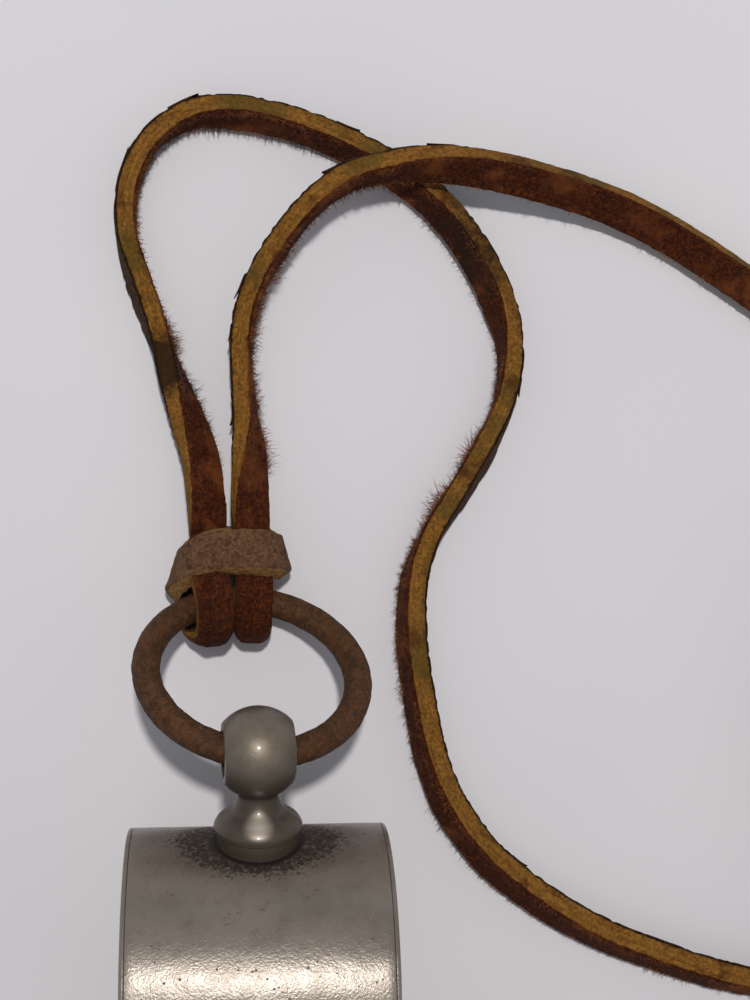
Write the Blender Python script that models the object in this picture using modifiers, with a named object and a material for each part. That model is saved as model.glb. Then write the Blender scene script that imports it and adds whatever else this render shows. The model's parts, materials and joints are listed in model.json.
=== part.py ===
"""An old snail-shaped pea whistle, its iron ring and the leather lace that it hangs on.

The whistle lies on its barrel and on the tip of its mouthpiece. The mouthpiece points to -Y,
the loop post and the ring to +Y. The surface is z = 0, and the origin is the middle of the
footprint of whistle and ring. Lengths are in metres.
"""

import math

import bmesh
import bpy
from mathutils import Matrix, Vector

MM = 0.001
OBJECT_NAME = "training_whistle"

# Whistle body
BARREL_RADIUS = 12.0 * MM
WHISTLE_WIDTH = 19.5 * MM
SHEET = 0.6 * MM
SEAM = 0.1 * MM
SHEET_WIDTH = WHISTLE_WIDTH - 2 * SHEET - 2 * SEAM
AXIS_Y = 6.08 * MM
VOICING_EDGE_DEG = 97.0
VOICING_BEVEL_DEG = 4.0
BARREL_END_DEG = -165.0
RAMP_TOP_DEG = 132.0
RAMP_END_DEG = 191.0
ARC_STEP_DEG = 4.0
WINDOW_Y = -7.4 * MM
ROOF_TOP_Z = 12.25 * MM
WINDWAY_FLOOR_Z = 10.3 * MM
TIP_Y = -40.1 * MM
TIP_FLAT_Y = -37.0 * MM
TIP_TOP_Z = 10.5 * MM
TIP_BOTTOM_Z = 2.5 * MM
COLLAR_LENGTH = 3.0 * MM
COLLAR_WALL = 0.5 * MM
COLLAR_PROUD = 0.3 * MM
COLLAR_CORNER = 0.3 * MM
RAMP_SHEET = 0.5 * MM
PEA_RADIUS = 5.9 * MM
RUNNING_GAP = 0.3 * MM

# Loop post, a turned piece: distances are from the barrel's axis
POST_ELEVATION_DEG = 11.5
POST_TWIST_DEG = 5.0
FLANGE_RADIUS = 3.28 * MM
FLANGE_TOP = 13.2 * MM
NECK_RADIUS = 1.55 * MM
BALL_CENTRE = 18.9 * MM
BALL_RADIUS = 3.4 * MM
BALL_HALF_FLATS = 2.7 * MM
BALL_STEP_DEG = 7.5
BORE_RADIUS = 1.75 * MM
POST_FOOT = 10.8 * MM
FLANGE_EDGE = 0.12 * MM
CONE_RISE = ((1.9 * MM, NECK_RADIUS), (1.25 * MM, 1.72 * MM), (0.65 * MM, 2.15 * MM), (0.22 * MM, 2.75 * MM))

# Ring
RING_RADIUS = 8.15 * MM
WIRE_RADIUS = 1.1 * MM
RING_SLOPE_DEG = 52.3
RING_SKEW_DEG = -5.6
WIRE_OFFSET_IN_BORE = 0.2 * MM
SWING_CHORD_DEG = (-28.0, 6.0)

# Lace, keeper and folds
LACE_WIDTH = 2.9 * MM
LACE_THICKNESS = 1.4 * MM
LACE_X = {"left": -3.7 * MM, "right": -0.25 * MM}
FOLD_RING_DEG = {"left": -23.2, "right": 2.6}
FOLD_BELOW = 2.32 * MM
FOLD_ABOVE = {"left": 2.6 * MM, "right": 2.4 * MM}
FOLD_AHEAD = 2.7 * MM
FOLD_LEAVES_DEG = 135
FOLD_STEP_DEG = 15
KEEPER_Y = (37.6 * MM, 40.4 * MM)
KEEPER_WALL = 1.1 * MM
KEEPER_LEAD = 0.3 * MM
KEEPER_SIDE_GAP = 0.25 * MM
KEEPER_LIFT = 0.6 * MM
KEEPER_CORNER = 1.1 * MM
LAYER_GAP = 0.15 * MM
TAIL_END_Y = 42.3 * MM
STRAP_END_Y = 45.5 * MM
STRAP_END_Z = 2.6 * MM
LAID_Z = 1.53 * MM
HUMP_Z = 4.85 * MM
ROUTE_SPACING = 4.5 * MM

# Coil of the stored length
COIL_CENTRE = Vector((64.0, 21.5, 0.0)) * MM
COIL_MEAN_RADIUS = 16.5 * MM
COIL_HALF_BUILD = 3.6 * MM
COIL_HEIGHT = 6.3 * MM
COIL_CORNER = 1.0 * MM

# Routes of the two strands, from the straps to the coil, as (x, y, z) in millimetres
LAID = LAID_Z / MM
HUMP = HUMP_Z / MM
LEFT_ROUTE = (
    (-3.7, 46.1, 2.5), (-4.1, 48.5, 1.8), (-5.4, 52.0, LAID), (-7.3, 56.0, LAID), (-9.0, 60.0, LAID),
    (-10.0, 64.0, LAID), (-9.9, 67.9, LAID), (-8.2, 71.3, LAID), (-5.0, 73.4, LAID), (-1.0, 73.6, LAID),
    (3.7, 72.6, LAID), (7.8, 71.0, LAID), (11.8, 68.8, LAID), (15.2, 66.1, LAID), (17.9, 62.6, LAID),
    (19.9, 58.6, LAID), (20.7, 54.7, LAID), (20.1, 50.9, LAID), (18.2, 47.3, LAID), (15.7, 43.7, LAID),
    (13.5, 40.0, LAID), (12.4, 36.0, LAID), (12.2, 31.1, LAID), (12.8, 26.3, LAID), (14.0, 21.3, LAID),
    (15.9, 17.1, LAID), (19.0, 13.1, LAID), (23.2, 9.6, LAID), (28.2, 6.6, LAID), (34.0, 4.1, LAID),
    (40.8, 2.3, LAID), (47.0, 1.8, LAID), (53.2, 1.9, LAID),
)
RIGHT_ROUTE = (
    (-0.25, 46.1, 2.5), (-0.6, 48.5, 1.8), (-0.95, 52.0, 1.6), (-1.0, 55.7, 2.2), (-0.3, 59.3, 3.2),
    (1.3, 62.7, 4.2), (3.8, 65.6, 4.8), (7.1, 67.9, HUMP), (10.9, 69.0, HUMP), (14.5, 69.4, HUMP),
    (19.0, 69.2, 4.3), (23.9, 68.3, 3.1), (28.8, 66.7, 2.1), (33.8, 64.3, LAID), (40.5, 60.1, LAID),
    (48.0, 55.0, LAID), (56.5, 49.0, 2.0), (64.2, 43.9, 3.2),
)

# Finishes: base colour, roughness, metallic
NICKEL = ("worn_nickel", (0.46, 0.44, 0.42), 0.38, 1.0)
IRON = ("rusted_iron", (0.12, 0.07, 0.05), 0.75, 0.4)
LACE_LEATHER = ("lace_leather", (0.22, 0.10, 0.04), 0.8, 0.0)
KEEPER_LEATHER = ("keeper_leather", (0.24, 0.20, 0.17), 0.9, 0.0)
CORK = ("cork", (0.45, 0.30, 0.17), 0.85, 0.0)


# ---------------------------------------------------------------- scene helpers


def clear_scene():
    for old in list(bpy.data.objects):
        bpy.data.objects.remove(old, do_unlink=True)


def new_collection(name):
    made = bpy.data.collections.new(name)
    bpy.context.scene.collection.children.link(made)
    return made


def finish_of(spec):
    name, colour, roughness, metallic = spec
    if name in bpy.data.materials:
        return bpy.data.materials[name]
    made = bpy.data.materials.new(name)
    made.use_nodes = True
    shader = made.node_tree.nodes["Principled BSDF"]
    shader.inputs["Base Color"].default_value = (*colour, 1.0)
    shader.inputs["Roughness"].default_value = roughness
    shader.inputs["Metallic"].default_value = metallic
    return made


def place(piece, collection, parent=None, location=(0, 0, 0), turn=None):
    """Puts an object into a collection, under its parent, at a place and a turn there."""
    for owner in list(piece.users_collection):
        owner.objects.unlink(piece)
    collection.objects.link(piece)
    piece.parent = parent
    piece.location = location
    if turn is not None:
        piece.rotation_euler = turn.to_euler()
    return piece


def add_piece(name, data, finish, collection, parent=None, location=(0, 0, 0), turn=None):
    piece = bpy.data.objects.new(name, data)
    data.materials.append(finish_of(finish))
    return place(piece, collection, parent, location, turn)


def add_empty(name, collection, parent=None, location=(0, 0, 0), turn=None):
    return place(bpy.data.objects.new(name, None), collection, parent, location, turn)


def turn_x(angle):
    return Matrix.Rotation(angle, 3, "X")


def turn_z(angle):
    return Matrix.Rotation(angle, 3, "Z")


# Stands an outline drawn in XY up in the whistle's YZ plane, with its thickness along X
UPRIGHT = turn_z(math.pi / 2) @ turn_x(math.pi / 2)


# ---------------------------------------------------------------- shape helpers


def arc(radius, start_deg, end_deg, step_deg=ARC_STEP_DEG):
    """Points of an arc about the origin, in degrees from +X."""
    steps = max(1, round(abs(end_deg - start_deg) / step_deg))
    angles = [math.radians(start_deg + (end_deg - start_deg) * i / steps) for i in range(steps + 1)]
    return [Vector((radius * math.cos(a), radius * math.sin(a))) for a in angles]


def offset_line(points, distance):
    """The open line moved sideways to its left by a distance, with mitred corners."""
    moved = []
    for i, point in enumerate(points):
        before = (point - points[i - 1]).normalized() if i else None
        after = (points[i + 1] - point).normalized() if i + 1 < len(points) else None
        first = before or after
        second = after or before
        middle = (first + second).normalized()
        side = Vector((-middle.y, middle.x))
        stretch = side.dot(Vector((-first.y, first.x)))
        moved.append(point + side * (distance / stretch))
    return moved


def sheet_outline(centre_line, thickness):
    """The closed outline of a bent sheet of one thickness."""
    left = offset_line(centre_line, thickness / 2)
    right = offset_line(centre_line, -thickness / 2)
    return left + right[::-1]


def rounded_rectangle(low, high, radius):
    outline = []
    centres = (
        (high[0] - radius, high[1] - radius, 0), (low[0] + radius, high[1] - radius, 90),
        (low[0] + radius, low[1] + radius, 180), (high[0] - radius, low[1] + radius, 270),
    )
    for x, y, start in centres:
        outline += [Vector((x, y)) + p for p in arc(radius, start, start + 90, 30)]
    return outline


def flat_shape(name, outlines, thickness):
    """A filled flat outline, with holes where outlines nest, given its thickness by extrusion."""
    data = bpy.data.curves.new(name, "CURVE")
    data.dimensions = "2D"
    data.fill_mode = "BOTH"
    data.extrude = thickness / 2
    for outline in outlines:
        spline = data.splines.new("POLY")
        spline.points.add(len(outline) - 1)
        for point, place_2d in zip(spline.points, outline):
            point.co = (place_2d.x, place_2d.y, 0.0, 1.0)
        spline.use_cyclic_u = True
    return data


def tube_shape(name, points, radius):
    data = bpy.data.curves.new(name, "CURVE")
    data.dimensions = "3D"
    data.bevel_depth = radius
    data.bevel_resolution = 2
    data.use_fill_caps = True
    spline = data.splines.new("POLY")
    spline.points.add(len(points) - 1)
    for point, at in zip(spline.points, points):
        point.co = (*at, 1.0)
    return data


def turned_piece(name, profile, finish, collection, parent, location, turn=None, steps=48):
    """A profile of (radius, height), run down its outer side, turned about Z."""
    data = bpy.data.meshes.new(name)
    closed = profile[0][0] > 0
    count = len(profile)
    edges = [(i, i + 1) for i in range(count - 1)] + ([(count - 1, 0)] if closed else [])
    data.from_pydata([(radius, 0.0, height) for radius, height in profile], edges, [])
    piece = add_piece(name, data, finish, collection, parent, location, turn)
    screw = piece.modifiers.new("turn", "SCREW")
    screw.axis = "Z"
    screw.steps = steps
    screw.render_steps = steps
    screw.use_merge_vertices = True
    screw.merge_threshold = 0.000001
    screw.use_smooth_shade = True
    return piece


def loft_shape(name, sections):
    """A closed solid through cross-sections that all have the same number of corners."""
    mesh = bmesh.new()
    loops = [[mesh.verts.new(corner) for corner in section] for section in sections]
    corners = len(loops[0])
    for near, far in zip(loops, loops[1:]):
        for i in range(corners):
            j = (i + 1) % corners
            mesh.faces.new((near[i], near[j], far[j], far[i]))
    mesh.faces.new(loops[0])
    mesh.faces.new(loops[-1])
    bmesh.ops.triangulate(mesh, faces=mesh.faces)
    bmesh.ops.recalc_face_normals(mesh, faces=mesh.faces)
    data = bpy.data.meshes.new(name)
    mesh.to_mesh(data)
    mesh.free()
    return data


def cut_away(piece, cutter):
    """Takes the cutter's volume out of the piece."""
    cutter.hide_render = True
    cutter.display_type = "WIRE"
    boolean = piece.modifiers.new("cut_" + cutter.name, "BOOLEAN")
    boolean.operation = "DIFFERENCE"
    boolean.object = cutter


def add_box_cutter(name, size, collection, parent, location):
    bpy.ops.mesh.primitive_cube_add(size=1.0)
    cutter = bpy.context.object
    cutter.name = name
    cutter.data.transform(Matrix.Diagonal((*size, 1.0)))
    return place(cutter, collection, parent, location)


def add_rod_cutter(name, radius, length, collection, parent, location, turn):
    bpy.ops.mesh.primitive_cylinder_add(radius=radius, depth=length, vertices=48)
    cutter = bpy.context.object
    cutter.name = name
    return place(cutter, collection, parent, location, turn)


def spline_through(points, per_span=12):
    """A smooth curve through the points (centripetal Catmull-Rom)."""
    ends = [points[0] * 2 - points[1], *points, points[-1] * 2 - points[-2]]
    curve = []
    for p0, p1, p2, p3 in zip(ends, ends[1:], ends[2:], ends[3:]):
        t1 = (p1 - p0).length ** 0.5
        t2 = t1 + (p2 - p1).length ** 0.5
        t3 = t2 + (p3 - p2).length ** 0.5
        for i in range(per_span):
            t = t1 + (t2 - t1) * i / per_span
            a1 = p0 * ((t1 - t) / t1) + p1 * (t / t1)
            a2 = p1 * ((t2 - t) / (t2 - t1)) + p2 * ((t - t1) / (t2 - t1))
            a3 = p2 * ((t3 - t) / (t3 - t2)) + p3 * ((t - t2) / (t3 - t2))
            b1 = a1 * ((t2 - t) / t2) + a2 * (t / t2)
            b2 = a2 * ((t3 - t) / (t3 - t1)) + a3 * ((t - t1) / (t3 - t1))
            curve.append(b1 * ((t2 - t) / (t2 - t1)) + b2 * ((t - t1) / (t2 - t1)))
    curve.append(points[-1].copy())
    return curve


def evenly_spaced(curve, spacing):
    """The curve's points at even distances along it, both ends kept."""
    reach = [0.0]
    for near, far in zip(curve, curve[1:]):
        reach.append(reach[-1] + (far - near).length)
    count = max(2, round(reach[-1] / spacing) + 1)
    spaced = []
    k = 0
    for i in range(count):
        wanted = reach[-1] * i / (count - 1)
        while k + 2 < len(reach) and reach[k + 1] < wanted:
            k += 1
        share = (wanted - reach[k]) / (reach[k + 1] - reach[k])
        spaced.append(curve[k].lerp(curve[k + 1], share))
    return spaced


# ---------------------------------------------------------------- where the parts stand


def resting_tilt():
    """How far the nose hangs: barrel and the collar's lower corner both touch the surface."""
    reach = -TIP_Y + COLLAR_PROUD
    height = TIP_BOTTOM_Z - SEAM - COLLAR_WALL
    return math.asin(BARREL_RADIUS / math.hypot(reach, height)) + math.atan2(height, reach)


TILT = resting_tilt()
BARREL_CENTRE = Vector((0.0, AXIS_Y, BARREL_RADIUS))
POST_ELEVATION = math.radians(POST_ELEVATION_DEG)
POST_DIRECTION = Vector((0.0, math.cos(POST_ELEVATION), math.sin(POST_ELEVATION)))
BALL = BARREL_CENTRE + POST_DIRECTION * BALL_CENTRE


def bore_axis():
    """The cross-bore's direction: square to the post, and turned a little about it."""
    twist = math.radians(POST_TWIST_DEG)
    sideways = Vector((1.0, 0.0, 0.0))
    return sideways * math.cos(twist) + POST_DIRECTION.cross(sideways) * math.sin(twist)


def ring_axes():
    """The ring's own axes: along the wire at the ball, towards its low end, and its normal."""
    skew = math.radians(RING_SKEW_DEG)
    slope = math.radians(RING_SLOPE_DEG)
    along = (bore_axis() + POST_DIRECTION * math.sin(skew)).normalized()
    down = Vector((0.0, math.cos(slope), -math.sin(slope)))
    down = (down - along * down.dot(along)).normalized()
    return along, down, along.cross(down)


RING_ALONG, RING_DOWN, RING_NORMAL = ring_axes()
RING_CENTRE = BALL + RING_DOWN * (RING_RADIUS - WIRE_OFFSET_IN_BORE)


def ring_point(degrees):
    """A point on the wire's centre line; 0 is the end furthest from the ball."""
    angle = math.radians(degrees)
    return RING_CENTRE + (RING_DOWN * math.cos(angle) + RING_ALONG * math.sin(angle)) * RING_RADIUS


def ring_tangent(degrees):
    angle = math.radians(degrees)
    return RING_ALONG * math.cos(angle) - RING_DOWN * math.sin(angle)


# ---------------------------------------------------------------- whistle body


def barrel_line():
    """The strip's centre line: round the barrel, then forward as the mouthpiece's underside."""
    radius = BARREL_RADIUS - SHEET / 2
    line = arc(radius, VOICING_EDGE_DEG, BARREL_END_DEG)
    height = TIP_BOTTOM_Z + SHEET / 2
    return line + [Vector((TIP_FLAT_Y, height)), Vector((TIP_Y, height))]


def add_barrel_strip(parts, barrel):
    outline = sheet_outline(barrel_line(), SHEET)
    bevel = math.radians(VOICING_BEVEL_DEG)
    edge = outline[-1]
    outline[-1] = Vector((
        edge.x * math.cos(bevel) + edge.y * math.sin(bevel),
        edge.y * math.cos(bevel) - edge.x * math.sin(bevel),
    ))
    data = flat_shape("barrel_strip", [outline], SHEET_WIDTH)
    add_piece("barrel_strip", data, NICKEL, parts, barrel, turn=UPRIGHT)


def side_outline():
    """Disc and mouthpiece side in one plate."""
    disc = arc(BARREL_RADIUS, VOICING_EDGE_DEG, BARREL_END_DEG)
    nose = [(TIP_FLAT_Y, TIP_BOTTOM_Z), (TIP_Y, TIP_BOTTOM_Z), (TIP_Y, TIP_TOP_Z),
            (TIP_FLAT_Y, TIP_TOP_Z), (WINDOW_Y, ROOF_TOP_Z)]
    return disc + [Vector(corner) for corner in nose]


def add_side_plates(parts, barrel):
    for name, side in (("left_side_plate", -1), ("right_side_plate", 1)):
        data = flat_shape(name, [side_outline()], SHEET)
        away = side * (WHISTLE_WIDTH - SHEET) / 2
        add_piece(name, data, NICKEL, parts, barrel, (away, 0, 0), UPRIGHT)


def add_windway_roof(parts, barrel):
    under_skin = SHEET / 2
    line = [Vector((WINDOW_Y, ROOF_TOP_Z - under_skin)), Vector((TIP_FLAT_Y, TIP_TOP_Z - under_skin)),
            Vector((TIP_Y, TIP_TOP_Z - under_skin))]
    data = flat_shape("windway_roof", [sheet_outline(line, SHEET)], SHEET_WIDTH)
    add_piece("windway_roof", data, NICKEL, parts, barrel, turn=UPRIGHT)


def add_windway_ramp(parts, barrel):
    """Floor of the windway, folded down at the window to close the chamber's front."""
    level = WINDWAY_FLOOR_Z - RAMP_SHEET / 2
    slope = [(-36.6 * MM, 3.3 * MM), (-30.0 * MM, 4.7 * MM), (-20.5 * MM, 8.4 * MM),
             (-14.0 * MM, level - 0.1 * MM), (WINDOW_Y - RAMP_SHEET / 2, level)]
    wall = arc(BARREL_RADIUS - RAMP_SHEET / 2, RAMP_TOP_DEG, RAMP_END_DEG)
    line = [Vector(point) for point in slope] + wall
    data = flat_shape("windway_ramp", [sheet_outline(line, RAMP_SHEET)], SHEET_WIDTH)
    add_piece("windway_ramp", data, NICKEL, parts, barrel, turn=UPRIGHT)


def add_tip_collar(parts, barrel):
    """Rectangular band round the mouthpiece's tip."""
    half_width = WHISTLE_WIDTH / 2 + SEAM
    bottom, top = TIP_BOTTOM_Z - SEAM, TIP_TOP_Z + SEAM
    wall = COLLAR_WALL
    inner = rounded_rectangle((-half_width, bottom), (half_width, top), SEAM)
    outer = rounded_rectangle(
        (-half_width - wall, bottom - wall), (half_width + wall, top + wall), COLLAR_CORNER)
    data = flat_shape("tip_collar", [outer, inner], COLLAR_LENGTH)
    middle = TIP_Y - COLLAR_PROUD + COLLAR_LENGTH / 2
    add_piece("tip_collar", data, NICKEL, parts, barrel, (0, middle, 0), turn_x(math.pi / 2))


def add_pea(parts, barrel):
    """Cork ball at the lowest place of the chamber."""
    orbit = BARREL_RADIUS - SHEET - PEA_RADIUS - RUNNING_GAP
    bpy.ops.mesh.primitive_uv_sphere_add(radius=PEA_RADIUS, segments=28, ring_count=18)
    pea = bpy.context.object
    pea.name = "cork_pea"
    pea.data.materials.append(finish_of(CORK))
    pea.data.shade_smooth()
    place(pea, parts, barrel, (0, -orbit * math.sin(TILT), -orbit * math.cos(TILT)))


# ---------------------------------------------------------------- loop post and ring


def post_profile():
    """Ball, neck, hollow cone and foot flange, from the ball's top down to the foot."""
    ball_end = math.degrees(math.acos(NECK_RADIUS / BALL_RADIUS))
    ball = [(p.x, BALL_CENTRE + p.y) for p in arc(BALL_RADIUS, 90.0, -ball_end, BALL_STEP_DEG)]
    ball[0] = (0.0, BALL_CENTRE + BALL_RADIUS)
    cone = [(radius, FLANGE_TOP + rise) for rise, radius in CONE_RISE]
    rim = [(FLANGE_RADIUS - FLANGE_EDGE, FLANGE_TOP), (FLANGE_RADIUS, FLANGE_TOP - FLANGE_EDGE)]
    return ball + cone + rim + [(FLANGE_RADIUS, POST_FOOT), (0.0, POST_FOOT)]


def add_loop_post(parts, cutters, barrel):
    lean = POST_ELEVATION - TILT
    turn = turn_x(lean - math.pi / 2) @ turn_z(math.radians(POST_TWIST_DEG))
    foot = add_empty("post_axis", parts, barrel, turn=turn)
    post = turned_piece("loop_post", post_profile(), NICKEL, parts, foot, (0, 0, 0))
    across = Matrix.Rotation(math.pi / 2, 3, "Y")
    saddle_turn = turn.inverted() @ across
    saddle = add_rod_cutter(
        "saddle_cutter", BARREL_RADIUS + SEAM, WHISTLE_WIDTH, cutters, foot, (0, 0, 0), saddle_turn)
    bore = add_rod_cutter(
        "bore_cutter", BORE_RADIUS, 4 * BALL_RADIUS, cutters, foot, (0, 0, BALL_CENTRE), across)
    cut_away(post, saddle)
    cut_away(post, bore)
    block = (BALL_RADIUS, 3 * BALL_RADIUS, 2 * BALL_RADIUS)
    for name, side in (("left_flat_cutter", -1), ("right_flat_cutter", 1)):
        away = side * (BALL_HALF_FLATS + BALL_RADIUS / 2)
        cut_away(post, add_box_cutter(name, block, cutters, foot, (away, 0, BALL_CENTRE)))


def add_ring(parts):
    """Round wire ring; its parent stands where the lace holds it."""
    held = (ring_point(SWING_CHORD_DEG[0]) + ring_point(SWING_CHORD_DEG[1])) / 2
    axes = Matrix((RING_ALONG, RING_DOWN, RING_NORMAL)).transposed()
    hold = add_empty("ring_hold", parts, None, held, axes)
    bpy.ops.mesh.primitive_torus_add(
        major_radius=RING_RADIUS, minor_radius=WIRE_RADIUS, major_segments=80, minor_segments=14)
    ring = bpy.context.object
    ring.name = "iron_ring"
    ring.data.materials.append(finish_of(IRON))
    ring.data.shade_smooth()
    place(ring, parts, hold, axes.inverted() @ (RING_CENTRE - held))


# ---------------------------------------------------------------- lace


def tail_height():
    return KEEPER_LIFT + KEEPER_WALL + LAYER_GAP + LACE_THICKNESS / 2


def strap_height():
    return tail_height() + LAYER_GAP + LACE_THICKNESS


def eased(start, leaving, end, arriving, share):
    """A point on the smooth curve between two places with the given directions there."""
    pull = (end - start).length
    far = 3 * share ** 2 - 2 * share ** 3
    out = share ** 3 - 2 * share ** 2 + share
    back = share ** 3 - share ** 2
    return start.lerp(end, far) + leaving * (out * pull) + arriving * (back * pull)


def fold_stations(side):
    """Centre and width direction along one folded lace end, from its tail to its strand."""
    x = LACE_X[side]
    wire = ring_point(FOLD_RING_DEG[side])
    square = Vector((1.0, 0.0, 0.0))
    north = Vector((0.0, 1.0, 0.0))
    width = (square + ring_tangent(FOLD_RING_DEG[side])).normalized()
    ahead = -(north - width * north.dot(width)).normalized()
    up = ahead.cross(width)
    low, high, above = tail_height(), strap_height(), FOLD_ABOVE[side]
    mouth = KEEPER_Y[0] - KEEPER_LEAD
    stations = [(Vector((x, y, low)), square) for y in (TAIL_END_Y, KEEPER_Y[0], mouth)]
    for degrees in range(-90, FOLD_LEAVES_DEG + 1, FOLD_STEP_DEG):
        angle = math.radians(degrees)
        reach = FOLD_AHEAD if degrees < 90 else above
        rise = above if degrees > 0 else FOLD_BELOW
        stations.append((wire + ahead * (reach * math.cos(angle)) + up * (rise * math.sin(angle)), width))
    start = stations[-1][0]
    leaving = (start - stations[-2][0]).normalized()
    end = Vector((x, mouth, high))
    for share in (0.25, 0.5, 0.75, 1.0):
        stations.append((eased(start, leaving, end, north, share), width.lerp(square, share)))
    stations += [(Vector((x, y, high)), square) for y in (*KEEPER_Y, TAIL_END_Y)]
    stations.append((Vector((x, STRAP_END_Y, STRAP_END_Z)), square))
    return stations


def strip_sections(stations):
    """Rectangular cross-sections of the lace, square to its path."""
    sections = []
    for i, (centre, width) in enumerate(stations):
        before = (centre - stations[i - 1][0]).normalized() if i else Vector()
        after = (stations[i + 1][0] - centre).normalized() if i + 1 < len(stations) else Vector()
        forward = (before + after).normalized()
        across = (width - forward * width.dot(forward)).normalized() * (LACE_WIDTH / 2)
        through = forward.cross(across).normalized() * (LACE_THICKNESS / 2)
        sections.append([centre + across + through, centre - across + through,
                         centre - across - through, centre + across - through])
    return sections


def add_folds(parts):
    for side in ("left", "right"):
        name = f"lace_{side}_fold"
        data = loft_shape(name, strip_sections(fold_stations(side)))
        add_piece(name, data, LACE_LEATHER, parts)


def add_keeper(parts):
    """Leather band round both doubled lace ends."""
    half = LACE_WIDTH / 2 + KEEPER_SIDE_GAP
    wall = KEEPER_WALL
    low = (LACE_X["left"] - half, KEEPER_LIFT + wall)
    high = (LACE_X["right"] + half, strap_height() + LACE_THICKNESS / 2 + LAYER_GAP)
    inner = rounded_rectangle(low, high, LAYER_GAP)
    outer = rounded_rectangle(
        (low[0] - wall, low[1] - wall), (high[0] + wall, high[1] + wall), KEEPER_CORNER)
    length = KEEPER_Y[1] - KEEPER_Y[0]
    data = flat_shape("lace_keeper", [outer, inner], length)
    middle = (KEEPER_Y[0] + KEEPER_Y[1]) / 2
    add_piece("lace_keeper", data, KEEPER_LEATHER, parts, None, (0, middle, 0), turn_x(math.pi / 2))


def add_strands(parts):
    for side, route in (("left", LEFT_ROUTE), ("right", RIGHT_ROUTE)):
        name = f"lace_{side}_strand"
        curve = spline_through([Vector(point) * MM for point in route])
        points = evenly_spaced(curve, ROUTE_SPACING)
        add_piece(name, tube_shape(name, points, LACE_WIDTH / 2), LACE_LEATHER, parts)


def add_coil(parts):
    """Outer shape of the coil that holds the rest of the lace."""
    low = (COIL_MEAN_RADIUS - COIL_HALF_BUILD, 0.0)
    high = (COIL_MEAN_RADIUS + COIL_HALF_BUILD, COIL_HEIGHT)
    outline = rounded_rectangle(low, high, COIL_CORNER)[::-1]
    profile = [(point.x, point.y) for point in outline]
    turned_piece("lace_coil", profile, LACE_LEATHER, parts, None, COIL_CENTRE, steps=56)


def build():
    clear_scene()
    parts = new_collection(OBJECT_NAME)
    cutters = new_collection("cutters")
    pivot = add_empty("whistle_pivot", parts, None, BALL)
    barrel = add_empty("barrel_axis", parts, pivot, BARREL_CENTRE - BALL, turn_x(TILT))
    add_barrel_strip(parts, barrel)
    add_side_plates(parts, barrel)
    add_windway_roof(parts, barrel)
    add_windway_ramp(parts, barrel)
    add_tip_collar(parts, barrel)
    add_pea(parts, barrel)
    add_loop_post(parts, cutters, barrel)
    add_ring(parts)
    add_folds(parts)
    add_keeper(parts)
    add_strands(parts)
    add_coil(parts)


build()
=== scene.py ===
"""The looks of an old snail-shaped pea whistle, its iron ring and the leather lace that it hangs on.

Lengths are in metres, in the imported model's frame: the surface is z = 0, the mouthpiece points
to -Y, and the ring and the lace lie to +Y.
"""

import json
import math
import random

import bmesh
import bpy
import numpy as np
from mathutils import Matrix, Vector, noise


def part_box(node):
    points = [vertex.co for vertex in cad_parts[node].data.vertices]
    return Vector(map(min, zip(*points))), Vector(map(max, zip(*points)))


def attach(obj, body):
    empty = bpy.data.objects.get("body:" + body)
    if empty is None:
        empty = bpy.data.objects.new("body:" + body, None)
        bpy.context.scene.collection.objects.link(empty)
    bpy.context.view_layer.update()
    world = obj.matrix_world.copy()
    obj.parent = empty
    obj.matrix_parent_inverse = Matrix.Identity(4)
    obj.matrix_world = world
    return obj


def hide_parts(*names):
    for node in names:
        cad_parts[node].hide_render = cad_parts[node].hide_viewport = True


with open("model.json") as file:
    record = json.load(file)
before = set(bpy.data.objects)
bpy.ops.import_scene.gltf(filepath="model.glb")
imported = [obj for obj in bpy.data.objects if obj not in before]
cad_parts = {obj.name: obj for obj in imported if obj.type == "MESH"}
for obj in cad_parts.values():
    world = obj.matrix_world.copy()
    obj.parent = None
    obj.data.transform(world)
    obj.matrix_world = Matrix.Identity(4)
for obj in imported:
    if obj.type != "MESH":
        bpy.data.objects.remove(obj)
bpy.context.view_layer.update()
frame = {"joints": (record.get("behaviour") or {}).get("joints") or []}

MM = 0.001
SEED = 7

# Camera and light
CAMERA_PLACE = Vector((-1.9, 47.2, 139.33)) * MM
CAMERA_TURN_DEG = (-1.97, -4.85, -0.28)
CAMERA_LENS_MM = 61.2
CAMERA_SENSOR_MM = 36.0
KEY_PLACE = Vector((2.0, 150.0, 380.0)) * MM
KEY_TARGET = Vector((5.0, 35.0, 0.0)) * MM
KEY_DIAMETER = 22.0 * MM
KEY_POWER = 0.86
KEY_COLOUR = (1.0, 0.97, 0.93)
WORLD_COLOUR = (0.93, 0.95, 1.0, 1.0)
WORLD_STRENGTH = 0.29
FLOOR_SIZE = 4.0

# Whistle body, in the barrel's own frame: y along the mouthpiece, z up from the axis
BARREL_RADIUS = 12.0 * MM
WHISTLE_WIDTH = 19.5 * MM
SHEET = 0.6 * MM
SEAM = 0.1 * MM
CHEEK = 0.34 * MM
SHEET_WIDTH = WHISTLE_WIDTH - 2 * CHEEK - 0.04 * MM
VOICING_EDGE_DEG = 97.0
BARREL_END_DEG = -165.0
WINDOW_Y = -7.4 * MM
ROOF_TOP_Z = 12.25 * MM
WINDWAY_FLOOR_Z = 10.3 * MM
TIP_Y = -40.1 * MM
TIP_FLAT_Y = -37.0 * MM
TIP_TOP_Z = 10.5 * MM
TIP_BOTTOM_Z = 2.5 * MM
COLLAR_LENGTH = 3.0 * MM
COLLAR_WALL = 0.5 * MM
COLLAR_PROUD = 0.3 * MM
RAMP_SHEET = 0.5 * MM
RAMP_TOP_DEG = 132.0
RAMP_END_DEG = 191.0
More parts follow.
